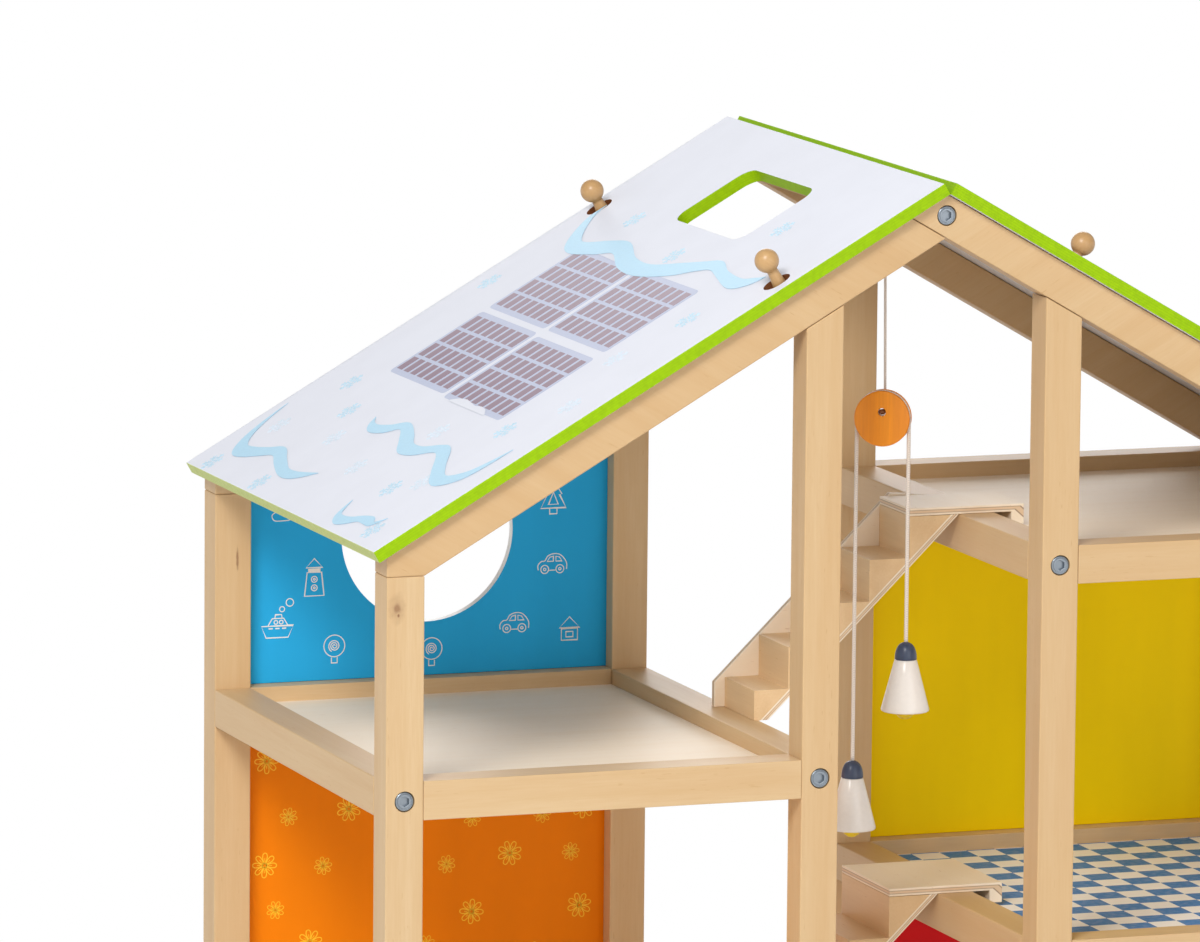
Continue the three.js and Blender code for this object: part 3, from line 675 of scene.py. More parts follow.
def cotton_cord():
    """Braided cotton: matt, with the braid as slanted strands about 0.6 mm apart, darker between the strands
    as painted shade.
    """
    colours = bpy.context.scene.dollhouse_lamp
    material, tree, principled = shader("braided_cotton", Roughness=0.85, Sheen_Weight=0.3,
                                        Specular_IOR_Level=0.2)
    along = add(tree, "ShaderNodeUVMap", uv_map="along")
    split = add(tree, "ShaderNodeSeparateXYZ", {"Vector": along.outputs["UV"]})
    run = add(tree, "ShaderNodeMath", {0: split.outputs["Y"], 1: math.tau / (1.2 * MM)}, operation="MULTIPLY")
    strands = None
    for lean in (2, -2):
        turn = add(tree, "ShaderNodeMath", {0: split.outputs["X"], 1: lean * math.tau}, operation="MULTIPLY")
        phase = add(tree, "ShaderNodeMath", {0: run.outputs[0], 1: turn.outputs[0]}, operation="ADD")
        wave = add(tree, "ShaderNodeMath", {0: phase.outputs[0]}, operation="SINE").outputs[0]
        strands = wave if strands is None else add(
            tree, "ShaderNodeMath", {0: strands, 1: wave}, operation="MAXIMUM").outputs[0]
    ramp = add(tree, "ShaderNodeMapRange", {"Value": strands, "From Min": -0.2, "From Max": 0.9})
    # Between the strands the cord is darker: painted shade in the grooves of the braid.
    shade = tuple(c * 0.84 for c in colours.cord)
    tone = blend_colour(tree, ramp.outputs["Result"], rgba(shade), rgba(colours.cord))
    tree.links.new(tone, principled.inputs["Base Color"])
    bump(tree, principled, strands, 0.06, 0.6)
    return material


def zinc_plate():
    """Zinc-plated steel: grey, slightly blue, with fine turning marks."""
    material, tree, principled = shader("zinc_plated_steel", Metallic=1.0, Roughness=0.33,
                                        Base_Color=rgba(linear("#949CA4")))
    speck = add(tree, "ShaderNodeTexNoise", {"Vector": object_place(tree), "Scale": 1800, "Detail": 3})
    rough = add(tree, "ShaderNodeMapRange", {"Value": speck.outputs["Fac"], "To Min": 0.24, "To Max": 0.42})
    tree.links.new(rough.outputs["Result"], principled.inputs["Roughness"])
    bump(tree, principled, speck.outputs["Fac"], 0.01, 0.4)
    return material


# ---- Settings ----

class WoodSettings(bpy.types.PropertyGroup):
    edge_radius: length("Edge radius, how far sanding rounds the sticks", 0.6)
    board_radius: length("Board radius, how far sanding rounds the thin boards", 0.35)
    stick: hue("stick wood, the pale tone", "#D8BA8F")
    stick_deep: hue("stick grain, the deeper tone", "#C9A06E")
    fleck: hue("pores, the darkest flecks", "#B98A58")
    knot: hue("knots, and dark streaks", "#85593A")
    # The step block tones are the stick wood made lighter: painted light on the stairs.
    block: hue("step blocks, the pale tone", "#EACA9E")
    block_deep: hue("step blocks, the deeper tone", "#D6AE7C")
    veneer: hue("face veneer, the pale tone", "#FBECD6")
    veneer_deep: hue("veneer grain, the deeper tone", "#F2DAB8")
    ply_core: hue("core ply, seen on edges", "#CFA36C")
    glue: hue("glue lines, seen on edges", "#8A5F38")


class WallSettings(bpy.types.PropertyGroup):
    blue: hue("upper left wall, sky blue", "#2DB0EC")
    orange: hue("middle left wall, orange", "#F28408")
    green: hue("lower left wall, leaf green", "#90C440")
    yellow: hue("middle right wall, mustard yellow", "#FFDA00")
    red: hue("lower right wall, red", "#D61C22")
    drawing: hue("line drawings, on the blue wall", "#F4F1EC")
    flower: hue("flowers, on the orange wall", "#FFC81E")
    tile_blue: hue("floor tiles, the blue ones", "#2C7CC0")
    tile_white: hue("floor tiles, the off-white ones", "#F8F4EE")
    line_width: FloatProperty(name="Line width", description="Width of the drawn lines, in millimetres",
                              default=0.5, min=0.2, max=3)


class RoofSettings(bpy.types.PropertyGroup):
    panel_thickness: length("Panel thickness, of the roof boards", 6.5)
    white: hue("roof face, winter white", "#E9EBF4")
    lime: hue("panel edges, lime stain", "#9CC600")
    lime_line: hue("plies under the lime stain", "#82AA08")
    eave: hue("eave edge, thinner stain", "#D3DE93")
    eave_line: hue("plies under the thin stain", "#B7C769")
    # Both peg hole tones are darkened as painted shade inside the holes.
    hole: hue("peg holes, raw plywood in shade", "#9A6440")
    hole_deep: hue("peg hole plies, the darker ones", "#6B3D22")
    ribbon: hue("ribbons, pale blue", "#B9E2F8")
    snow: hue("snowflakes, pale blue", "#C6E6F6")
    faint: hue("faint snowflakes, whiter blue", "#E2EFFA")
    solar_frame: hue("solar panels, lavender ground", "#BFC6DE")
    solar_cell: hue("solar cells, dusky maroon", "#85667A")
    cell_columns: IntProperty(name="Cell columns", description="Solar cells down the slope in a panel",
                              default=4, min=1)
    cell_rows: IntProperty(name="Cell rows", description="Solar cells along the house in a panel",
                           default=8, min=1)


class LampSettings(bpy.types.PropertyGroup):
    peg: hue("peg wood, the pale tone", "#CBA36F")
    peg_deep: hue("peg wood, the deeper tone", "#AE804C")
    pulley: hue("pulley stain, the pale tone", "#FF9C12")
    pulley_deep: hue("pulley stain, the deeper tone", "#CF6C0A")
    cap: hue("lamp cap, slate blue", "#37435C")
    shade: hue("lamp shade, off-white", "#F0E9E1")
    bulb: hue("lamp bulb, yellow", "#EBCB00")
    cord: hue("cotton cord, off-white", "#F0E4D8")
    # The knot's dark brown is painted shade in the pulley's bore.
    knot: hue("cord knot, waxed brown", "#7A4A2A")


class StageSettings(bpy.types.PropertyGroup):
    lens: FloatProperty(name="Lens", description="Focal length on a 36 mm wide sensor", default=287.8, min=10)
    azimuth: FloatProperty(name="Azimuth", description="Camera direction left of the front",
                           subtype="ANGLE", default=math.radians(-19.8))
    elevation: FloatProperty(name="Elevation", description="Camera direction above the level",
                             subtype="ANGLE", default=math.radians(8.577))
    roll: FloatProperty(name="Roll", description="Camera roll", subtype="ANGLE", default=math.radians(0.514))
    camera: FloatVectorProperty(name="Camera", description="Camera position", size=3, unit="LENGTH",
                                default=(-1.7593, -4.5313, 1.3005))
    key_power: FloatProperty(name="Key light", description="Power of the key light, in watts",
                             default=105, min=0)
    fill_power: FloatProperty(name="Fill light", description="Power of the fill light, in watts",
                              default=25, min=0)
    back_power: FloatProperty(name="Back light", description="Power of the back light, in watts",
                              default=36, min=0)
    world: FloatProperty(name="Sweep", description="Brightness of the white sweep round the object",
                         default=1.0, min=0)
    ceiling: FloatProperty(name="Ceiling", description="Brightness of the studio above and below the sweep",
                           default=0.36, min=0)
    floor_radius: length("Floor radius, of the pale round floor", 1250)


# ---- Operators ----

class Maker(bpy.types.Operator):
    """Shared settings of the maker operators"""
    bl_options = {"REGISTER", "UNDO"}


def shared(name, make):
    """A material that several operators use, made once."""
    return bpy.data.materials.get(name) or make()


def stick_finish(grain):
    colours = bpy.context.scene.dollhouse_wood
    name = f"lacquered_maple_{grain}"
    return shared(name, lambda: lacquered_wood(name, grain, colours.stick, colours.stick_deep))


def block_finish_painted_light():
    """The solid blocks of the steps: the stick wood in a lighter, warmer tone, as painted light on the stairs
    inside the house.
    """
    colours = bpy.context.scene.dollhouse_wood
    name = "lacquered_wood_painted_light_y"
    return shared(name, lambda: lacquered_wood(name, "y", colours.block, colours.block_deep))


def ply_finish(grain):
    return shared(f"birch_plywood_{grain}", lambda: birch_plywood(grain))


def mark_plies(obj, direction, start, thickness):
    """Writes how far each corner lies through a board, 0 to 1, for the plies on its edges."""
    write_attribute(obj, "ply", [min(max((v.co.dot(direction) - start) / thickness, 0), 1)
                                 for v in obj.data.vertices])


class DOLLHOUSE_OT_sticks(Maker):
    """Finish the posts, rafters, ridge beam and side rails as lacquered sticks"""
    bl_idname = "dollhouse.sticks"
    bl_label = "Sticks"

    def execute(self, context):
        radius = context.scene.dollhouse_wood.edge_radius
        grains = dict.fromkeys(POSTS, "z")
        grains.update({f"rafter_{face}_{wing}": f"slope_{wing}" for face in FACES for wing in WINGS})
        grains.update({f"side_rail_{wing}_{storey}_{place}": "y"
                       for wing in WINGS for storey in STOREYS for place in PLACES})
        grains["ridge_beam"] = "y"
        for number, (node, grain) in enumerate(grains.items()):
            heads = bolt_places(node) if node in BOLTED_STICKS else []
            stick = rounded_copy(node, radius, circles=[(head, (0, 1, 0), COUNTERBORE) for head in heads])
            mark_board(stick, number)
            dress(stick, HOUSE, "stick_wood", stick_finish(grain), stands_for=[node])
        return {"FINISHED"}


class DOLLHOUSE_OT_floors(Maker):
    """Finish the floor boards and the rails that they are glued to"""
    bl_idname = "dollhouse.floors"
    bl_label = "Floors"

    def execute(self, context):
        radius = context.scene.dollhouse_wood.board_radius
        tiles = tiled_floor()
        for wing in WINGS:
            for storey in STOREYS:
                node = f"floor_{wing}_{storey}"
                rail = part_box(f"side_rail_{wing}_{storey}_inner")[0].y
                floor = rounded_copy(node, radius, shortest=0.002)
                face_finish = tiles if (wing, storey) == ("right", "middle") else ply_finish("x")
                dress(floor, HOUSE, "plywood", stick_finish("x"), ply_finish("x"), face_finish,
                      stands_for=[node])
                for face in floor.data.polygons:
                    if abs(face.center.y) < abs(rail) - MM:
                        face.material_index = 2 if face.normal.z > 0.9 else 1
                # The boards show face veneer all round, with no glue lines.
                write_attribute(floor, "ply", [0.0] * len(floor.data.vertices))
                mark_board(floor, STOREYS.index(storey) + 3 * WINGS.index(wing))
        return {"FINISHED"}


def icon_lighthouse(pen, w):
    pen.stroke([(-9.5, -17), (-7, 5), (7, 5), (9.5, -17)], w, closed=True)
    pen.stroke([(-8, 9.5), (0, 18), (8, 9.5)], w, closed=True)
    pen.fill([(-6, 5.4), (6, 5.4), (6, 8.6), (-6, 8.6)])
    for rise in (-9.5, -1.5):
        pen.ring(0, rise, 2.8, w)
        pen.ring(0, rise, 0.9, w, 10)


def icon_ship(pen, w):
    pen.stroke([(-15.5, 0), (-11, -11), (10.5, -11), (15.5, 0)], w, closed=True)
    pen.stroke([(-9, 0.6), (-5, 7), (6, 7), (10, 0.6)], w)
    pen.stroke([(-2.5, 7.4), (-2, 10.5), (4, 10.5), (4.5, 7.4)], w)
    for port in (-1.5, 3.7):
        pen.ring(port, 3.4, 1.8, w, 12)
    for dash in (-8.5, -2, 4.5):
        pen.fill([(dash, -3), (dash + 4, -3), (dash + 4, -1.8), (dash, -1.8)])
    pen.ring(4.5, 15.5, 2.4, w)
    pen.ring(12, 21.5, 3.6, w)


def icon_lollipop(pen, w):
    pen.ring(0, 0, 10.2, w, 28)
    turns = [(0.6 + 5.2 * k / 40, 0.42 * k) for k in range(41)]
    pen.stroke([(r * math.cos(a), r * math.sin(a)) for r, a in turns], w)
    pen.stroke([(-2.8, -10.8), (-2.8, -16), (2.8, -16), (2.8, -10.8)], w)


def icon_tree(pen, w):
    half = [(0, 17), (8.5, 4.5), (6, 4.2), (12.5, -8.5)]
    pen.stroke(half + [(-a, b) for a, b in reversed(half[1:])], w, closed=True)
    pen.stroke([(-4.8, -5), (0, 6.5), (4.8, -5)], w, closed=True)
    pen.stroke([(-3.6, -9), (-3.6, -14), (3.6, -14), (3.6, -9)], w)


def icon_car(pen, w):
    body = [(-14, -5.5), (-14.2, -1), (-11, 2.5), (-7.5, 3), (-4.5, 7.5), (1, 9.5), (7, 8.8), (11.5, 5),
            (14.2, 0), (14, -5.5)]
    pen.stroke(smooth_line(body, 4), w)
    pen.stroke([(-3.2, -6), (3.2, -6)], w)
    for wheel in (-7.5, 7.5):
        pen.ring(wheel, -5, 3.9, w, 18)
        pen.ring(wheel, -5, 1.2, w, 10)
    pen.stroke([(-5, 2.4), (-2.5, 6.3), (1, 7.2), (1, 2.4)], w * 0.9, closed=True)
    pen.stroke([(3.5, 2.4), (3.5, 7), (7, 6.2), (9.5, 2.4)], w * 0.9, closed=True)


def icon_house(pen, w):
    pen.stroke([(-8, -11), (-8, 0), (8, 0), (8, -11)], w, closed=True)
    pen.stroke([(-10, 0.8), (0, 11), (10, 0.8)], w, closed=True)
    pen.stroke([(-3.5, -8), (-3.5, -3), (3.5, -3), (3.5, -8)], w, closed=True)


def icon_cloud(pen, w):
    lobes = [(-9, -2), (-10, 2), (-6, 5), (-1, 7), (4, 5.5), (9, 4), (10, 0), (7, -3), (0, -3.5), (-6, -3.5)]
    pen.stroke(smooth_line(lobes, 4, closed=True), w, closed=True)


# Each drawing with its middle on the wall, in millimetres.
ICONS = (
    (icon_lighthouse, -234.5, 502.4), (icon_ship, -254.5, 478), (icon_lollipop, -223.4, 466),
    (icon_cloud, -252, 535), (icon_tree, -103.3, 538), (icon_car, -103.6, 503.7),
    (icon_car, -124.4, 473.4), (icon_house, -93.8, 469), (icon_cloud, -199, 578), (icon_house, -146, 590),
    (icon_lighthouse, -103, 574), (icon_lollipop, -170, 462),
)
ICON_SCALE = 0.56


def flower_piece():
    """One daisy in outline, about 20 mm across before it is sized: eight petals round an eye."""
    page = Print()
    petals = 8
    for k in range(petals):
        turn = math.tau * k / petals
        along, across = Vector((math.cos(turn), math.sin(turn))), Vector((-math.sin(turn), math.cos(turn)))
        loop = [(0.2, 0.02), (0.45, 0.15), (0.75, 0.19), (0.96, 0.1), (0.96, -0.1), (0.75, -0.19),
                (0.45, -0.15), (0.2, -0.02)]
        line = [tuple((along * a + across * b) * 10) for a, b in smooth_line(loop, 3, closed=True)]
        page.stroke(line, 0.75, closed=True)
        tip = [tuple((along * a) * 10) for a in (0.36, 0.62)]
        page.stroke(tip, 0.55)
    page.ring(0, 0, 1.6, 0.8, 12)
    return page.make("flower_source")


# Each flower's middle on the wall, across and up, in millimetres, and its size beside the drawn one.
FLOWERS = (
    (-260, 407, 0.66), (-215, 379.5, 0.66), (-261, 352, 0.66), (-126, 351, 0.66), (-147, 321, 0.66),
    (-87, 321, 0.66), (-85, 374, 0.66), (-172, 398, 0.66), (-190, 336, 0.66), (-236, 310, 0.66),
    (-248, 377, 0.48), (-229, 350, 0.48), (-161, 347, 0.48), (-92, 350, 0.48), (-147, 371, 0.48),
    (-108, 371, 0.48), (-200, 412, 0.48), (-120, 401, 0.48), (-172, 305, 0.48), (-112, 298, 0.48),
    (-255, 328, 0.48), (-258, 283, 0.66), (-205, 290, 0.66), (-150, 276, 0.66), (-95, 270, 0.66),
    (-228, 268, 0.48), (-180, 262, 0.48), (-124, 258, 0.48),
)


class DOLLHOUSE_OT_walls(Maker):
    """Print the back walls: drawings on blue, flowers on orange, and three plain colours"""
    bl_idname = "dollhouse.walls"
    bl_label = "Back Walls"

    def execute(self, context):
        settings = context.scene.dollhouse_walls
        radius = context.scene.dollhouse_wood.board_radius
        walls = {"left_upper": "blue", "left_middle": "orange", "left_lower": "green",
                 "right_middle": "yellow", "right_lower": "red"}
        # The window's rim is near white: a painted highlight of the light shining through the window from
        # behind.
        rim = lacquer("window_rim_painted_backlight", linear("#F8F6F2"), 0.5)
        for place, colour in walls.items():
            node = f"back_wall_{place}"
            low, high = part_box(node)
            window = []
            if place == "left_upper":
                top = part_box("side_rail_left_upper_inner")[1].z
                window = [(((low.x + high.x) / 2, low.y, top + WINDOW_RISE), (0, 1, 0), WINDOW_RADIUS)]
            wall = rounded_copy(node, radius, shortest=0.02, circles=window)
            film = printed_film(f"satin_print_{colour}", getattr(settings, colour))
            dress(wall, HOUSE, f"wall_{colour}", film, ply_finish("x"), rim, stands_for=[node])
            for face in wall.data.polygons:
                if face.normal.y > 0.9 or abs(face.normal.y) < 0.3:
                    # Edge faces round the window take the painted highlight; the other edges show plywood.
                    in_window = face.normal.y < 0.3 and any(
                        (face.center - Vector(middle)).length < opening + 3 * MM
                        for middle, _, opening in window)
                    face.material_index = 2 if in_window else 1
            mark_plies(wall, Vector((0, 1, 0)), low.y, high.y - low.y)
        page = Print()
        for draw, x, z in ICONS:
            draw(page.at(x, z, ICON_SCALE), settings.line_width / ICON_SCALE)
        drawings = page.make("wall_drawings", wall_place("back_wall_left_upper"))
        dress(drawings, HOUSE, "wall_blue", ink("screen_ink_white", settings.drawing))
        source = flower_piece()
        tree = scatter_tree("flower_scatter")
        points = ([(x * MM, z * MM, 0) for x, z, _ in FLOWERS],
                  [(0, 0, 0.37 * i) for i, _ in enumerate(FLOWERS)], [s for _, _, s in FLOWERS])
        yellow = ink("screen_ink_yellow", settings.flower)
        flowers = grow("wall_flowers", tree, points, Piece=source, Finish=yellow)
        flowers.data.transform(wall_place("back_wall_left_middle"))
        bpy.data.objects.remove(source)
        dress(flowers, HOUSE, "wall_orange", yellow)
        return {"FINISHED"}


# The wavy crest of the snow along the lower edge of the front solar array: height and place from
# the middle to the front, in millimetres.
SNOW_SLIVER = [(0.2, -8), (3.2, -15), (4.4, -24), (3.4, -33), (2.6, -40), (3.8, -48), (3, -55), (0.2, -61)]

# Ribbons of drifted snow on the left roof panel: distance down the slope from the ridge, place
# along the house and half width, in millimetres.
RIBBONS = {
    "ridge": ((85, 134, 0.2), (97, 131, 2.4), (113, 115, 4.6), (119, 99, 5.4), (113, 73, 6.5), (109, 54, 5.5),
              (117, 27, 5.5), (118, 0, 5.5), (110, -30, 6.0), (103, -48, 4.6), (99, -62, 4.2),
              (103, -80, 3.4), (106, -104, 4.6), (101, -117, 3.4), (95, -123, 0.2)),
    "eave_back": ((282, 144, 0.2), (299, 139, 1.6), (313, 131, 3.4), (321, 120, 4.8), (320, 107, 4.6),
                  (316, 93, 4), (312, 79, 4), (317, 63, 3.8), (322, 45, 3.4), (322, 32, 3.4),
                  (319, 21, 2.4), (314, 9, 0.2)),
    "eave_middle": ((268, 37, 0.2), (273, 31, 2), (275, 22, 3.4), (272, 9, 3.8), (266, -4, 3.2),
                    (272, -22, 4.4), (278, -36, 4.8), (277, -51, 4), (271, -66, 3.4), (271, -77, 4.2),
                    (282, -97, 4.2), (288, -113, 4.6), (281, -127, 4.2), (270, -133, 2.6), (253, -137, 0.2)),
    "eave_front": ((320, -62, 0.2), (331, -69, 2), (334, -78, 3.6), (332, -87, 3.2), (328, -96, 2.6),
                   (327, -106, 3.4), (328, -113, 1.8), (321, -120, 0.2)),
}
# Middles of the snowflakes and of the solar arrays in the same measures: down the slope from the
# ridge, and along the house.
SNOWFLAKES = ((254, 114), (271, 73), (335, 129), (334, 52), (304, -80), (331, -122), (244, -102), (160, 133),
              (102, -7), (138, -112), (88, 85), (62, -70))
FAINT_SNOWFLAKES = ((297, 119), (290, 47), (301, -17), (293, -100), (261, -43), (177, -101), (215, -126))
SOLAR_ARRAYS = ((147, 51), (147, -39.5), (209, 51), (211, -39.5))
# A solar array's size, and the spacing and size of its cells, down the slope and along the house.
SOLAR_SIZE = (58, 86)
CELL_PITCH = (13.2, 10.4)
CELL_SIZE = (11, 7.4)
# How far the drift and the ribbons are lifted over the arrays, in millimetres.
DRIFT_LIFT = 0.16
RIBBON_LIFT = 0.2


def ribbon_edges(points):
    """The two edges of a ribbon from its middle line and half widths."""
    line = smooth_line(points, 5)
    sides = ([], [])
    for i, (x, y, half) in enumerate(line):
        before, after = line[max(i - 1, 0)], line[min(i + 1, len(line) - 1)]
        forward = Vector((after[0] - before[0], after[1] - before[1])).normalized()
        for side, sign in zip(sides, (-1, 1)):
            side.append((x - forward.y * half * sign, y + forward.x * half * sign))
    return sides


def ribbon_strip(page, points):
    """A ribbon as one closed strip of quads, lifted over the arrays."""
    left, right = ribbon_edges(points)
    corners = []
    for height in (0, INK):
        corners.append([[page.bm.verts.new((x * MM, y * MM, RIBBON_LIFT * MM + height)) for x, y in side]
                        for side in (left, right)])
    (low_left, low_right), (high_left, high_right) = corners
    for i in range(len(left) - 1):
        j = i + 1
        page.bm.faces.new([low_left[i], low_left[j], low_right[j], low_right[i]])
        page.bm.faces.new([high_left[i], high_right[i], high_right[j], high_left[j]])
        page.bm.faces.new([low_left[i], high_left[i], high_left[j], low_left[j]])
        page.bm.faces.new([low_right[i], low_right[j], high_right[j], high_right[i]])
    for i in (0, len(left) - 1):
        page.bm.faces.new([low_left[i], low_right[i], high_right[i], high_left[i]])


def snowflake_piece():
    """One snowflake, about 13 mm across before it is sized: six arms with two small forks each."""
    page = Print()
    for k in range(6):
        turn = math.tau * k / 6
        along, across = Vector((math.cos(turn), math.sin(turn))), Vector((-math.sin(turn), math.cos(turn)))
        page.stroke([tuple(along * 1.3), tuple(along * 6.3)], 0.6)
        for near, far in ((2.4, 3.6), (4.2, 5.6)):
            for lean in (-1, 1):
                root, tip = along * near + across * 0.3 * lean, along * far + across * 1.6 * lean
                page.stroke([tuple(root), tuple(tip)], 0.55)
    page.ring(0, 0, 1.1, 0.5, 10)
    return page.make("snowflake_source")


class DOLLHOUSE_OT_roof(Maker):
    """Finish the two roof panels with their lime edges, winter print and solar arrays"""
    bl_idname = "dollhouse.roof"
    bl_label = "Roof"

    def execute(self, context):
        settings = context.scene.dollhouse_roof
        white = printed_film("satin_print_winter_white", settings.white, 0.012)
        lime = stained_edge("lime_stained_edge", settings.lime, settings.lime_line)
        eave = stained_edge("thin_lime_stain", settings.eave, settings.eave_line)
        # Peg hole walls: raw plywood, darkened to brown as painted shade inside the holes.
        hole_wall_shade = stained_edge("raw_ply_painted_hole_shade", settings.hole, settings.hole_deep)
        for wing in WINGS:
            node = f"roof_panel_{wing}"
            _, down, out = slope(wing)
            panel = rounded_copy(node, context.scene.dollhouse_wood.board_radius, shortest=0.1)
            dress(panel, f"roof_{wing}", "roof_paint", white, lime, eave, hole_wall_shade, stands_for=[node])
            low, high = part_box(node)
            edge = max(v.co.dot(down) for v in panel.data.vertices)
            low_edge = min(v.co.dot(down) for v in panel.data.vertices)
            for face in panel.data.polygons:
                # The edges, and in the strips along both verges, clear of ridge and eave, the peg holes,
                # whose raw plywood walls are darkened as painted shade.
                if abs(face.normal.dot(out)) < 0.8:
                    at_eave = face.normal.dot(down) > 0.8 and face.center.dot(down) > edge - MM
                    from_verge = min(face.center.y - low.y, high.y - face.center.y)
                    in_hole = 2 * MM < from_verge < 24 * MM and edge - face.center.dot(down) > 0.2 \
                        and abs(face.center.dot(down) - low_edge) > 2 * MM
                    face.material_index = 2 if at_eave else 3 if in_hole else 1
            top = max(v.co.dot(out) for v in panel.data.vertices)
            mark_plies(panel, out, top - settings.panel_thickness, settings.panel_thickness)
        self.print_art(settings, white)
        return {"FINISHED"}

    def print_art(self, settings, white):
        body, slot, wing = "roof_left", "roof_paint", "left"
        page = Print()
        long, wide = SOLAR_SIZE
        for x, y in SOLAR_ARRAYS:
            corners = []
            for cx, cy, start in ((1, 1, 0), (-1, 1, 90), (-1, -1, 180), (1, -1, 270)):
                corners += arc(x + cx * (long / 2 - 3), y + cy * (wide / 2 - 3), 3, start, start + 90, 4)
            page.fill(corners)
        ground = page.make("solar_ground", roof_place(wing))
        dress(ground, body, slot, ink("solar_print_lavender", settings.solar_frame))
        tree = cell_tree("solar_cells")
        maroon = ink("solar_print_maroon", settings.solar_cell, 0.3)
        grid = {"Columns": settings.cell_columns, "Rows": settings.cell_rows,
                "Pitch X": CELL_PITCH[0] * MM, "Pitch Y": CELL_PITCH[1] * MM,
                "Cell": (CELL_SIZE[0] * MM, CELL_SIZE[1] * MM, INK), "Finish": maroon}
        for number, (x, y) in enumerate(SOLAR_ARRAYS, 1):
            cells = grow(f"solar_cells_{number}", tree, **grid)
            cells.data.transform(Matrix.Translation((x * MM, y * MM, INK)))
            cells.data.transform(roof_place(wing))
            dress(cells, body, slot, maroon)
        drift = Print()
        upper = min(x for x, _ in SOLAR_ARRAYS) - long / 2
        covers = [p for p in ribbon_edges(RIBBONS["ridge"])[1] if p[0] > upper - 0.5]
        drift.fill([(upper - 0.5, covers[0][1])] + covers + [(upper - 0.5, covers[-1][1])],
                   DRIFT_LIFT)
        lower = max(x for x, _ in SOLAR_ARRAYS) + long / 2
        crest = [(lower - depth, y) for depth, y in SNOW_SLIVER]
        drift.fill(crest + [(lower + 1, SNOW_SLIVER[-1][1]), (lower + 1, SNOW_SLIVER[0][1])], DRIFT_LIFT)
        snow_cover = drift.make("snow_drift", roof_place(wing))
        dress(snow_cover, body, slot, white)
        ribbons = Print()
        for points in RIBBONS.values():
            ribbon_strip(ribbons, points)
        dress(ribbons.make("snow_ribbons", roof_place(wing)), body, slot,
              ink("screen_ink_pale_blue", settings.ribbon))
        source = snowflake_piece()
        tree = scatter_tree("snow_scatter")
        for name, places, colour in (("snowflakes", SNOWFLAKES, settings.snow),
                                     ("faint_snowflakes", FAINT_SNOWFLAKES, settings.faint)):
            colour_ink = ink(f"screen_ink_{name}", colour)
            points = ([(s * MM, y * MM, 0) for s, y in places],
                      [(0, 0, 0.5 * i) for i, _ in enumerate(places)], [1.15] * len(places))
            flakes = grow(name, tree, points, Piece=source, Finish=colour_ink)
            flakes.data.transform(roof_place(wing))
            dress(flakes, body, slot, colour_ink)
        bpy.data.objects.remove(source)


class DOLLHOUSE_OT_pegs(Maker):
    """Turn the four ball-headed roof pegs"""
    bl_idname = "dollhouse.pegs"
    bl_label = "Roof Pegs"

    def execute(self, context):
        colours = context.scene.dollhouse_lamp
        for wing in WINGS:
            sign, _, out = slope(wing)
            beech = turned_wood(f"turned_beech_{wing}", colours.peg, colours.peg_deep, f"slope_{wing}")
            for face in FACES:
                node = f"peg_{face}_{wing}"
                heights = [v.co.dot(out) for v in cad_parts[node].data.vertices]
                top, foot = max(heights), min(heights)
                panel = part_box(f"roof_panel_{wing}")[1].z * math.cos(PITCH) + (
                    abs(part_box(f"roof_panel_{wing}")[1 if wing == "left" else 0].x)
                    + context.scene.dollhouse_roof.panel_thickness * math.sin(PITCH)) * math.sin(PITCH) - foot
                radius, shank, neck = 6.1 * MM, 3.5 * MM, 2.8 * MM
                ball = top - foot - radius
                start = math.asin(neck / radius)
                join = ball - radius * math.cos(start)
                profile = [(0, 0), (shank - 0.4 * MM, 0), (shank, 0.5 * MM), (shank, panel - 1 * MM)]
                profile += [(shank + (neck - shank) * math.sin(math.pi / 2 * t),
                             panel - 1 * MM + (join - panel + 1 * MM) * t) for t in (0.25, 0.5, 0.75)]
                profile += [(radius * math.sin(start + (math.pi - start) * i / 20),
                             ball - radius * math.cos(start + (math.pi - start) * i / 20)) for i in range(20)]
                profile.append((0, ball + radius))
                peg = lathe(f"{node}_turned", profile, 48)
                middle = sum((v.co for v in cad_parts[node].data.vertices), Vector()) / len(heights)
                base = middle + out * (foot - middle.dot(out))
                place = Matrix.Translation(base) @ Matrix.Rotation(sign * PITCH, 4, "Y")
                peg.data.transform(place)
                mark_board(peg, FACES.index(face) + 2 * WINGS.index(wing))
                dress(peg, HOUSE, "peg_wood", beech, stands_for=[node])
        return {"FINISHED"}


def bolt_places(node):
    """Middles of the bolt heads in a stick's outer face."""
    kind, face, wing = node.split("_")[:3]
    low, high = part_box(node)
    y = low.y if face == "front" else high.y
    if kind == "rafter":
        low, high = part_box("ridge_beam")
        return [(0, y, (low.z + high.z) / 2)]
    rails = [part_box(f"side_rail_{wing}_{storey}_outer") for storey in STOREYS]
    return [((low.x + high.x) / 2, y, (a.z + b.z) / 2) for a, b in rails]


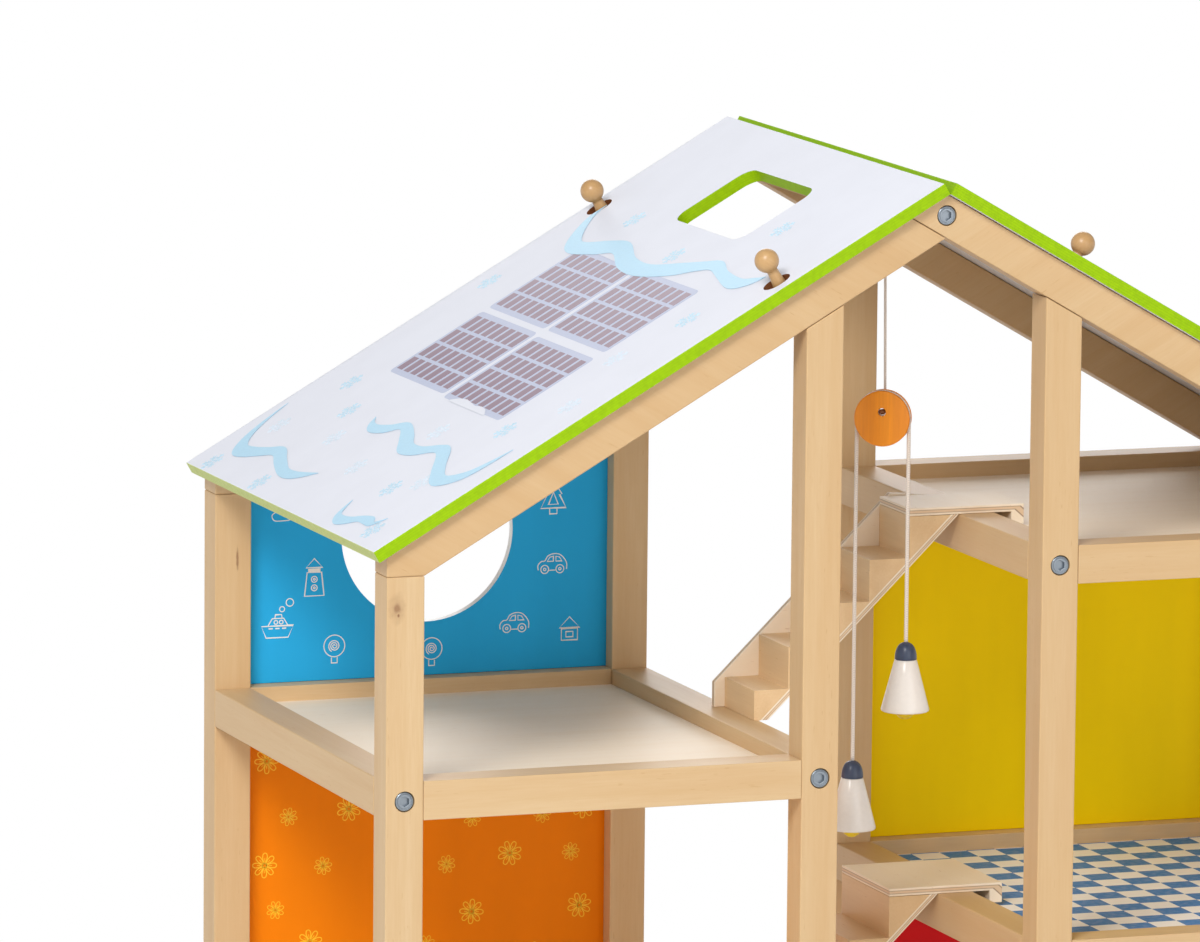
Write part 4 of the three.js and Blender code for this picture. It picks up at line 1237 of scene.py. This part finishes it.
def bolt_source():
    """The head of a furniture bolt facing -Y: a flat rounded disc with a hexagonal socket."""
    bm = bmesh.new()
    sides = 48
    rings = []
    profile = [(4.3, 2.3), (4.8, 1.9), (4.8, 0.75), (4.66, 0.4), (4.35, 0.22), (4.1, 0.24), (3.95, 0.5),
               (3.65, 0.52), (3.5, 0.32), (2.7, 0.3)]
    for radius, depth in profile:
        rings.append([bm.verts.new((radius * MM * math.cos(math.tau * i / sides), depth * MM,
                                    radius * MM * math.sin(math.tau * i / sides))) for i in range(sides)])
    hexagon = []
    for i in range(sides):
        angle = math.tau * i / sides
        wedge = (angle + math.pi / 6) % (math.pi / 3) - math.pi / 6
        hexagon.append((2.3 * MM / math.cos(wedge), angle))
    for depth in (0.34, 2.0):
        rings.append([bm.verts.new((r * math.cos(a), depth * MM, r * math.sin(a))) for r, a in hexagon])
    for low, high in zip(rings, rings[1:]):
        for i in range(sides):
            j = (i + 1) % sides
            bm.faces.new([low[i], low[j], high[j], high[i]])
    bm.faces.new(rings[0])
    bm.faces.new(rings[-1])
    bmesh.ops.recalc_face_normals(bm, faces=bm.faces)
    return mesh_from(bm, "bolt_source")


class DOLLHOUSE_OT_bolts(Maker):
    """Set the hex-socket bolts in the posts and in the ridge joints"""
    bl_idname = "dollhouse.bolts"
    bl_label = "Bolts"

    def execute(self, context):
        heads = [head for node in BOLTED_STICKS for head in bolt_places(node)]
        turns = [(0, 0, 0 if y < 0 else math.pi) for _, y, _ in heads]
        source = bolt_source()
        zinc = shared("zinc_plated_steel", zinc_plate)
        bolts = grow("bolts", scatter_tree("bolt_scatter"), (heads, turns, [1] * len(heads)),
                     Piece=source, Finish=zinc)
        bpy.data.objects.remove(source)
        dress(bolts, HOUSE, "zinc", zinc)
        return {"FINISHED"}


class DOLLHOUSE_OT_stairs(Maker):
    """Finish the three stair flights, their landings, soffits and the parapet"""
    bl_idname = "dollhouse.stairs"
    bl_label = "Stairs"

    def execute(self, context):
        wood = context.scene.dollhouse_wood
        for number, storey in enumerate(STOREYS):
            body = f"flight_{storey}"
            node = f"stair_soffit_{storey}"
            low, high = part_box(node)
            level = SOFFIT * math.sqrt(2)
            under = Vector((high.z - low.z, 0, -(high.x - low.x - level))).normalized()
            soffit = rounded_copy(node, wood.board_radius, shortest=0.002, seam=-under)
            dress(soffit, body, "plywood", ply_finish("y"), stands_for=[node])
            outer = max(v.co.dot(under) for v in soffit.data.vertices)
            mark_plies(soffit, under, outer - SOFFIT, SOFFIT)
            node = f"stair_steps_{storey}"
            steps = rounded_copy(node, STEP_EDGE, shortest=0.002, seam=under, close=STEP_GAP)
            mark_board(steps, number + 5)
            dress(steps, body, "plywood", block_finish_painted_light(), stands_for=[node])
            node = f"stair_landing_{storey}"
            landing = rounded_copy(node, wood.edge_radius * 0.6, shortest=0.002)
            mark_board(landing, number + 2)
            dress(landing, body, "plywood", ply_finish("y"), stands_for=[node])
            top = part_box(node)[1].z
            mark_plies(landing, Vector((0, 0, 1)), top - LANDING, LANDING)
        node = "stair_parapet_upper"
        parapet = rounded_copy(node, wood.board_radius, shortest=0.002)
        dress(parapet, "flight_upper", "plywood", ply_finish("x"), stands_for=[node])
        low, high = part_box(node)
        mark_plies(parapet, Vector((0, 1, 0)), low.y, high.y - low.y)
        return {"FINISHED"}


class DOLLHOUSE_OT_lamp(Maker):
    """Make the pulley, its cords and the two pendants"""
    bl_idname = "dollhouse.lamp"
    bl_label = "Pulley Lamp"

    def execute(self, context):
        colours = context.scene.dollhouse_lamp
        cotton = cotton_cord()
        self.hook(cotton)
        low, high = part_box("pulley_wheel")
        centre = (low + high) / 2
        strands = {side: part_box(f"lamp_cord_{side}") for side in WINGS}
        tops = {side: Vector(((a.x + b.x) / 2, (a.y + b.y) / 2, centre.z))
                for side, (a, b) in strands.items()}
        across = (tops["right"] - tops["left"]).normalized()
        axle = Vector((-across.y, across.x, 0))
        self.wheel(centre, across, axle, (high.z - low.z) / 2)
        reach = (tops["right"] - tops["left"]).length / 2
        wrap = [centre + across * (-reach * math.cos(a)) + Vector((0, 0, reach * math.sin(a)))
                for a in (math.pi * k / 28 for k in range(29))]
        over = tube("lamp_cord_over_finished", wrap, 1 * MM)
        dress(over, "lamp_hanger", "cord", cotton, stands_for=["lamp_cord_over_pulley"])
        for side in WINGS:
            self.strand(side, tops[side], strands[side], cotton)
            self.pendant(side, colours)
        return {"FINISHED"}

    def hook(self, cotton):
        """The screw eye under the ridge beam and the hanger cord tied to it."""
        low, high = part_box("screw_eye")
        ring_radius = (high.y - low.y) / 2 - 0.8 * MM
        x, y = (low.x + high.x) / 2, (low.y + high.y) / 2
        middle = Vector((x, y, low.z + ring_radius + 0.8 * MM))
        loop = [middle + Vector((0, ring_radius * math.sin(a), ring_radius * math.cos(a)))
                for a in (math.tau * k / 36 for k in range(37))]
        shank = [middle + Vector((0, 0, ring_radius + i * MM)) for i in (0, 1)]
        zinc = shared("zinc_plated_steel", zinc_plate)
        eye = tube("screw_eye_ring", loop, 0.8 * MM, 12)
        dress(eye, HOUSE, "zinc", zinc, stands_for=["screw_eye"])
        stem = tube("screw_eye_stem", [shank[0], Vector((x, y, high.z))], 0.8 * MM, 12)
        dress(stem, HOUSE, "zinc", zinc)
        knot = lathe("hanger_knot", [(0.75 * MM, 0)] + [
            (0.75 * MM + 0.9 * MM * abs(math.sin(math.pi * k / 8)), k * 0.45 * MM) for k in range(1, 8)]
            + [(0.75 * MM, 8 * 0.45 * MM)], 24)
        knot.data.uv_layers.new(name="along")
        knot.data.transform(Matrix.Translation((x, y, low.z - 4.2 * MM)))
        dress(knot, "lamp_hanger", "cord", cotton)

    def wheel(self, centre, across, axle, radius):
        """The grooved wheel, drilled above its middle for the hanger cord."""
        colours = bpy.context.scene.dollhouse_lamp
        half, bore_radius, bore_up = WHEEL_HALF, 2 * MM, 3.4 * MM
        groove = radius - 2.2 * MM
        rim = [(radius - 0.9 * MM, -half)]
        rim += [(radius - 0.9 * MM + 0.9 * MM * math.sin(a), -half + 0.9 * MM * (1 - math.cos(a)))
                for a in (math.pi / 8 * k for k in range(1, 5))]
        rim += [(radius, -2.6 * MM), (groove, -0.9 * MM)]
        rim += [(r, -h) for r, h in reversed(rim)]
        bm = bmesh.new()
        sides = 96
        rows = []
        lip = 0.35 * MM
        bore = [(bore_radius, half - lip), (bore_radius + lip, half)]
        turns = [math.tau * i / sides for i in range(sides)]

        def row(points):
            rows.append([bm.verts.new(p) for p in points])

        for r, h in [(r, -h) for r, h in bore]:
            row([(r * math.cos(a), bore_up + r * math.sin(a), h) for a in turns])
        for r, h in rim:
            row([(r * math.cos(a), r * math.sin(a), h) for a in turns])
        for r, h in reversed(bore):
            row([(r * math.cos(a), bore_up + r * math.sin(a), h) for a in turns])
        for low, high in zip(rows, rows[1:] + rows[:1]):
            for i in range(sides):
                j = (i + 1) % sides
                bm.faces.new([low[i], low[j], high[j], high[i]]).smooth = True
        bmesh.ops.recalc_face_normals(bm, faces=bm.faces)
        wheel = mesh_from(bm, "pulley_wheel_turned")
        wheel.data.set_sharp_from_angle(angle=math.radians(30))
        wheel.data.transform(placing(across, (0, 0, 1), -axle, centre))
        stain = turned_wood("orange_stained_beech", colours.pulley, colours.pulley_deep, "z")
        dress(wheel, "lamp_hanger", "pulley_orange", stain, stands_for=["pulley_wheel"])
        self.hanger(centre, axle, centre.z + bore_up)

    def hanger(self, centre, axle, bore):
        """The thin cord behind the pulley, which turns into its hole and ends in a knot there."""
        cord_radius = 0.7 * MM
        behind = WHEEL_HALF + 0.3 * MM + cord_radius + 0.5 * MM
        eye_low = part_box("screw_eye")[0].z - 0.3 * MM
        radius = (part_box("pulley_wheel")[1].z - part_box("pulley_wheel")[0].z) / 2
        top = centre.z + radius
        route = [(0, eye_low), (behind * 0.15, eye_low - 12 * MM), (behind * 0.85, top + 12 * MM),
                 (behind, top), (behind, bore + 3 * MM), (behind - cord_radius, bore + cord_radius),
                 (WHEEL_HALF - cord_radius, bore), (0, bore)]
        line = [Vector((centre.x, centre.y, z)) + axle * back for back, z in smooth_line(route, 6)]
        cotton = bpy.data.materials["braided_cotton"]
        cord = tube("hanger_cord_finished", line, cord_radius, 10)
        dress(cord, "lamp_hanger", "cord", cotton, stands_for=["hanger_cord"])
        # The knot fills the bore; its dark brown is painted shade in the hole.
        bead = [(1.95 * MM * math.sin(math.pi * k / 10), -1.3 * MM * math.cos(math.pi * k / 10))
                for k in range(11)]
        knot = lathe("pulley_knot", bead, 20)
        seat = Vector((centre.x, centre.y, bore)) - axle * (WHEEL_HALF - 2.4 * MM)
        knot.data.transform(Matrix.Translation(seat))
        shaded = ink("knot_painted_bore_shade", bpy.context.scene.dollhouse_lamp.knot, 0.6)
        dress(knot, "lamp_hanger", "cord", shaded)

    def strand(self, side, top, box, cotton):
        """A straight hanging strand from the pulley down to its pendant."""
        low = box[0].z - 0.2 * MM
        steps = 60
        line = [top + Vector((0, 0, (low - top.z) * k / steps)) for k in range(steps + 1)]
        strand = tube(f"lamp_cord_{side}_finished", line, 1 * MM)
        strand.data.materials.append(cotton)
        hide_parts(f"lamp_cord_{side}")
        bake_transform(strand)

    def pendant(self, side, colours):
        """A turned cone shade with its cap and bulb."""
        low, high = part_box(f"lamp_{side}")
        x, y = (low.x + high.x) / 2, (low.y + high.y) / 2
        rim = (high.x - low.x) / 2
        base = low.z + 4.3 * MM
        neck_z, neck = 26.5 * MM, 5.6 * MM
        place = Matrix.Translation((x, y, base))
        shade = [(0, 3.4 * MM), (rim - 5 * MM, 3.2 * MM), (rim - 2.4 * MM, 0.6 * MM), (rim - 1.6 * MM, 0),
                 (rim - 0.6 * MM, 0.1 * MM), (rim - 0.15 * MM, 0.45 * MM), (rim, 1.1 * MM)]
        shade += [(rim + (neck - rim) * t, 1.1 * MM + (neck_z - 1.1 * MM) * t)
                  for t in (0.25, 0.5, 0.75, 0.985)]
        shade += [(neck - 0.3 * MM, neck_z), (0, neck_z)]
        obj = lathe(f"lamp_{side}_shade", shade, 64)
        obj.data.transform(place)
        dress(obj, f"pendant_{side}", "lamp_white",
              shared("off_white_lacquer", lambda: lacquer("off_white_lacquer", colours.shade)),
              stands_for=[f"lamp_{side}"])
        cap_h = high.z - base - neck_z
        cap = [(0, neck_z + 0.05 * MM), (neck - 0.2 * MM, neck_z + 0.05 * MM), (neck, neck_z + 0.3 * MM)]
        cap += [(neck * math.cos(a) ** 0.72 + 0.001 * MM, neck_z + cap_h * (0.06 + 0.93 * math.sin(a)))
                for a in (math.pi / 2 * k / 12 for k in range(1, 12))]
        cap += [(1.3 * MM, high.z - base), (0, high.z - base)]
        cap = [p for p in cap[:-2] if p[0] > 1.35 * MM or p[0] == 0] + cap[-2:]
        obj = lathe(f"lamp_{side}_cap", cap, 48)
        obj.data.transform(place)
        dress(obj, f"pendant_{side}", "lamp_white",
              shared("slate_lacquer", lambda: lacquer("slate_lacquer", colours.cap, 0.45)))
        bulb_r = 5 * MM
        bulb = [(bulb_r * math.sin(a), bulb_r - 4.3 * MM - bulb_r * math.cos(a))
                for a in (math.pi * k / 18 for k in range(19))]
        bulb[0], bulb[-1] = (0, bulb[0][1]), (0, bulb[-1][1])
        obj = lathe(f"lamp_{side}_bulb", bulb, 40)
        obj.data.transform(place)
        dress(obj, f"pendant_{side}", "lamp_white",
              shared("yellow_lacquer", lambda: lacquer("yellow_lacquer", colours.bulb)))


class DOLLHOUSE_OT_stage(Maker):
    """Set the camera, the soft studio lights and the pale floor"""
    bl_idname = "dollhouse.stage"
    bl_label = "Stage"

    def execute(self, context):
        settings = context.scene.dollhouse_stage
        scene = context.scene
        camera = link(bpy.data.objects.new("camera", bpy.data.cameras.new("camera")))
        camera.data.lens = settings.lens
        camera.data.clip_end = 100
        camera.matrix_world = (Matrix.Translation(settings.camera) @ Matrix.Rotation(settings.azimuth, 4, "Z")
                               @ Matrix.Rotation(math.pi / 2 - settings.elevation, 4, "X")
                               @ Matrix.Rotation(settings.roll, 4, "Z"))
        scene.camera = camera
        scene.view_settings.view_transform = "Standard"
        world = bpy.data.worlds.new("white_studio")
        world.use_nodes = True
        tree = world.node_tree
        background = tree.nodes["Background"]
        background.inputs["Color"].default_value = (1, 1, 1, 1)
        height = add(tree, "ShaderNodeSeparateXYZ", {
            "Vector": add(tree, "ShaderNodeTexCoord").outputs["Generated"]}).outputs["Z"]
        above = add(tree, "ShaderNodeMapRange", {"Value": height, "From Min": 0.04, "From Max": 0.16,
                                                 "To Min": settings.world, "To Max": settings.ceiling})
        below = add(tree, "ShaderNodeMapRange", {"Value": height, "From Min": -0.42, "From Max": -0.3,
                                                 "To Min": settings.ceiling, "To Max": settings.world})
        least = add(tree, "ShaderNodeMath", {0: above.outputs["Result"], 1: below.outputs["Result"]},
                    operation="MINIMUM")
        tree.links.new(least.outputs[0], background.inputs["Strength"])
        scene.world = world
        target = Vector((0, 0, 0.45))
        for name, place, size, power in (("key", (-2.0, -2.5, 2.9), 1.4, settings.key_power),
                                         ("fill", (0.9, -3.8, 1.5), 2.4, settings.fill_power),
                                         ("back", (1.1, 3.4, 1.7), 2.0, settings.back_power)):
            light = link(bpy.data.objects.new(name, bpy.data.lights.new(name, "AREA")))
            light.data.energy = power
            light.data.size = size
            light.location = place
            light.rotation_euler = (target - Vector(place)).to_track_quat("-Z", "Y").to_euler()
        bm = bmesh.new()
        bmesh.ops.create_circle(bm, cap_ends=True, segments=96, radius=settings.floor_radius)
        floor = mesh_from(bm, "floor")
        material, _, principled = shader("pale_floor", Roughness=0.7)
        principled.inputs["Base Color"].default_value = rgba(linear("#F4F3F1"))
        floor.data.materials.append(material)
        return {"FINISHED"}


class DOLLHOUSE_PT_panel(bpy.types.Panel):
    """Makers of the dollhouse and their settings"""
    bl_idname = "DOLLHOUSE_PT_panel"
    bl_label = "Dollhouse"
    bl_space_type = "VIEW_3D"
    bl_region_type = "UI"
    bl_category = "Dollhouse"

    def draw(self, context):
        for operator in OPERATORS:
            self.layout.operator(operator.bl_idname)
        for name in SETTINGS:
            box = self.layout.box()
            group = getattr(context.scene, name)
            for key in group.bl_rna.properties.keys():
                if key not in ("rna_type", "name"):
                    box.prop(group, key)


OPERATORS = (DOLLHOUSE_OT_stage, DOLLHOUSE_OT_lamp, DOLLHOUSE_OT_sticks, DOLLHOUSE_OT_floors,
             DOLLHOUSE_OT_walls, DOLLHOUSE_OT_roof, DOLLHOUSE_OT_pegs, DOLLHOUSE_OT_bolts,
             DOLLHOUSE_OT_stairs)
SETTINGS = {"dollhouse_wood": WoodSettings, "dollhouse_walls": WallSettings, "dollhouse_roof": RoofSettings,
            "dollhouse_lamp": LampSettings, "dollhouse_stage": StageSettings}


def register():
    for name, group in SETTINGS.items():
        bpy.utils.register_class(group)
        setattr(bpy.types.Scene, name, PointerProperty(type=group))
    for cls in (*OPERATORS, DOLLHOUSE_PT_panel):
        bpy.utils.register_class(cls)


def unregister():
    for cls in (DOLLHOUSE_PT_panel, *reversed(OPERATORS)):
        bpy.utils.unregister_class(cls)
    for name, group in SETTINGS.items():
        delattr(bpy.types.Scene, name)
        bpy.utils.unregister_class(group)


def main():
    register()
    bpy.ops.dollhouse.stage()
    bpy.ops.dollhouse.lamp()
    bpy.ops.dollhouse.sticks()
    bpy.ops.dollhouse.floors()
    bpy.ops.dollhouse.walls()
    bpy.ops.dollhouse.roof()
    bpy.ops.dollhouse.pegs()
    bpy.ops.dollhouse.bolts()
    bpy.ops.dollhouse.stairs()


if __name__ == "__main__":
    main()
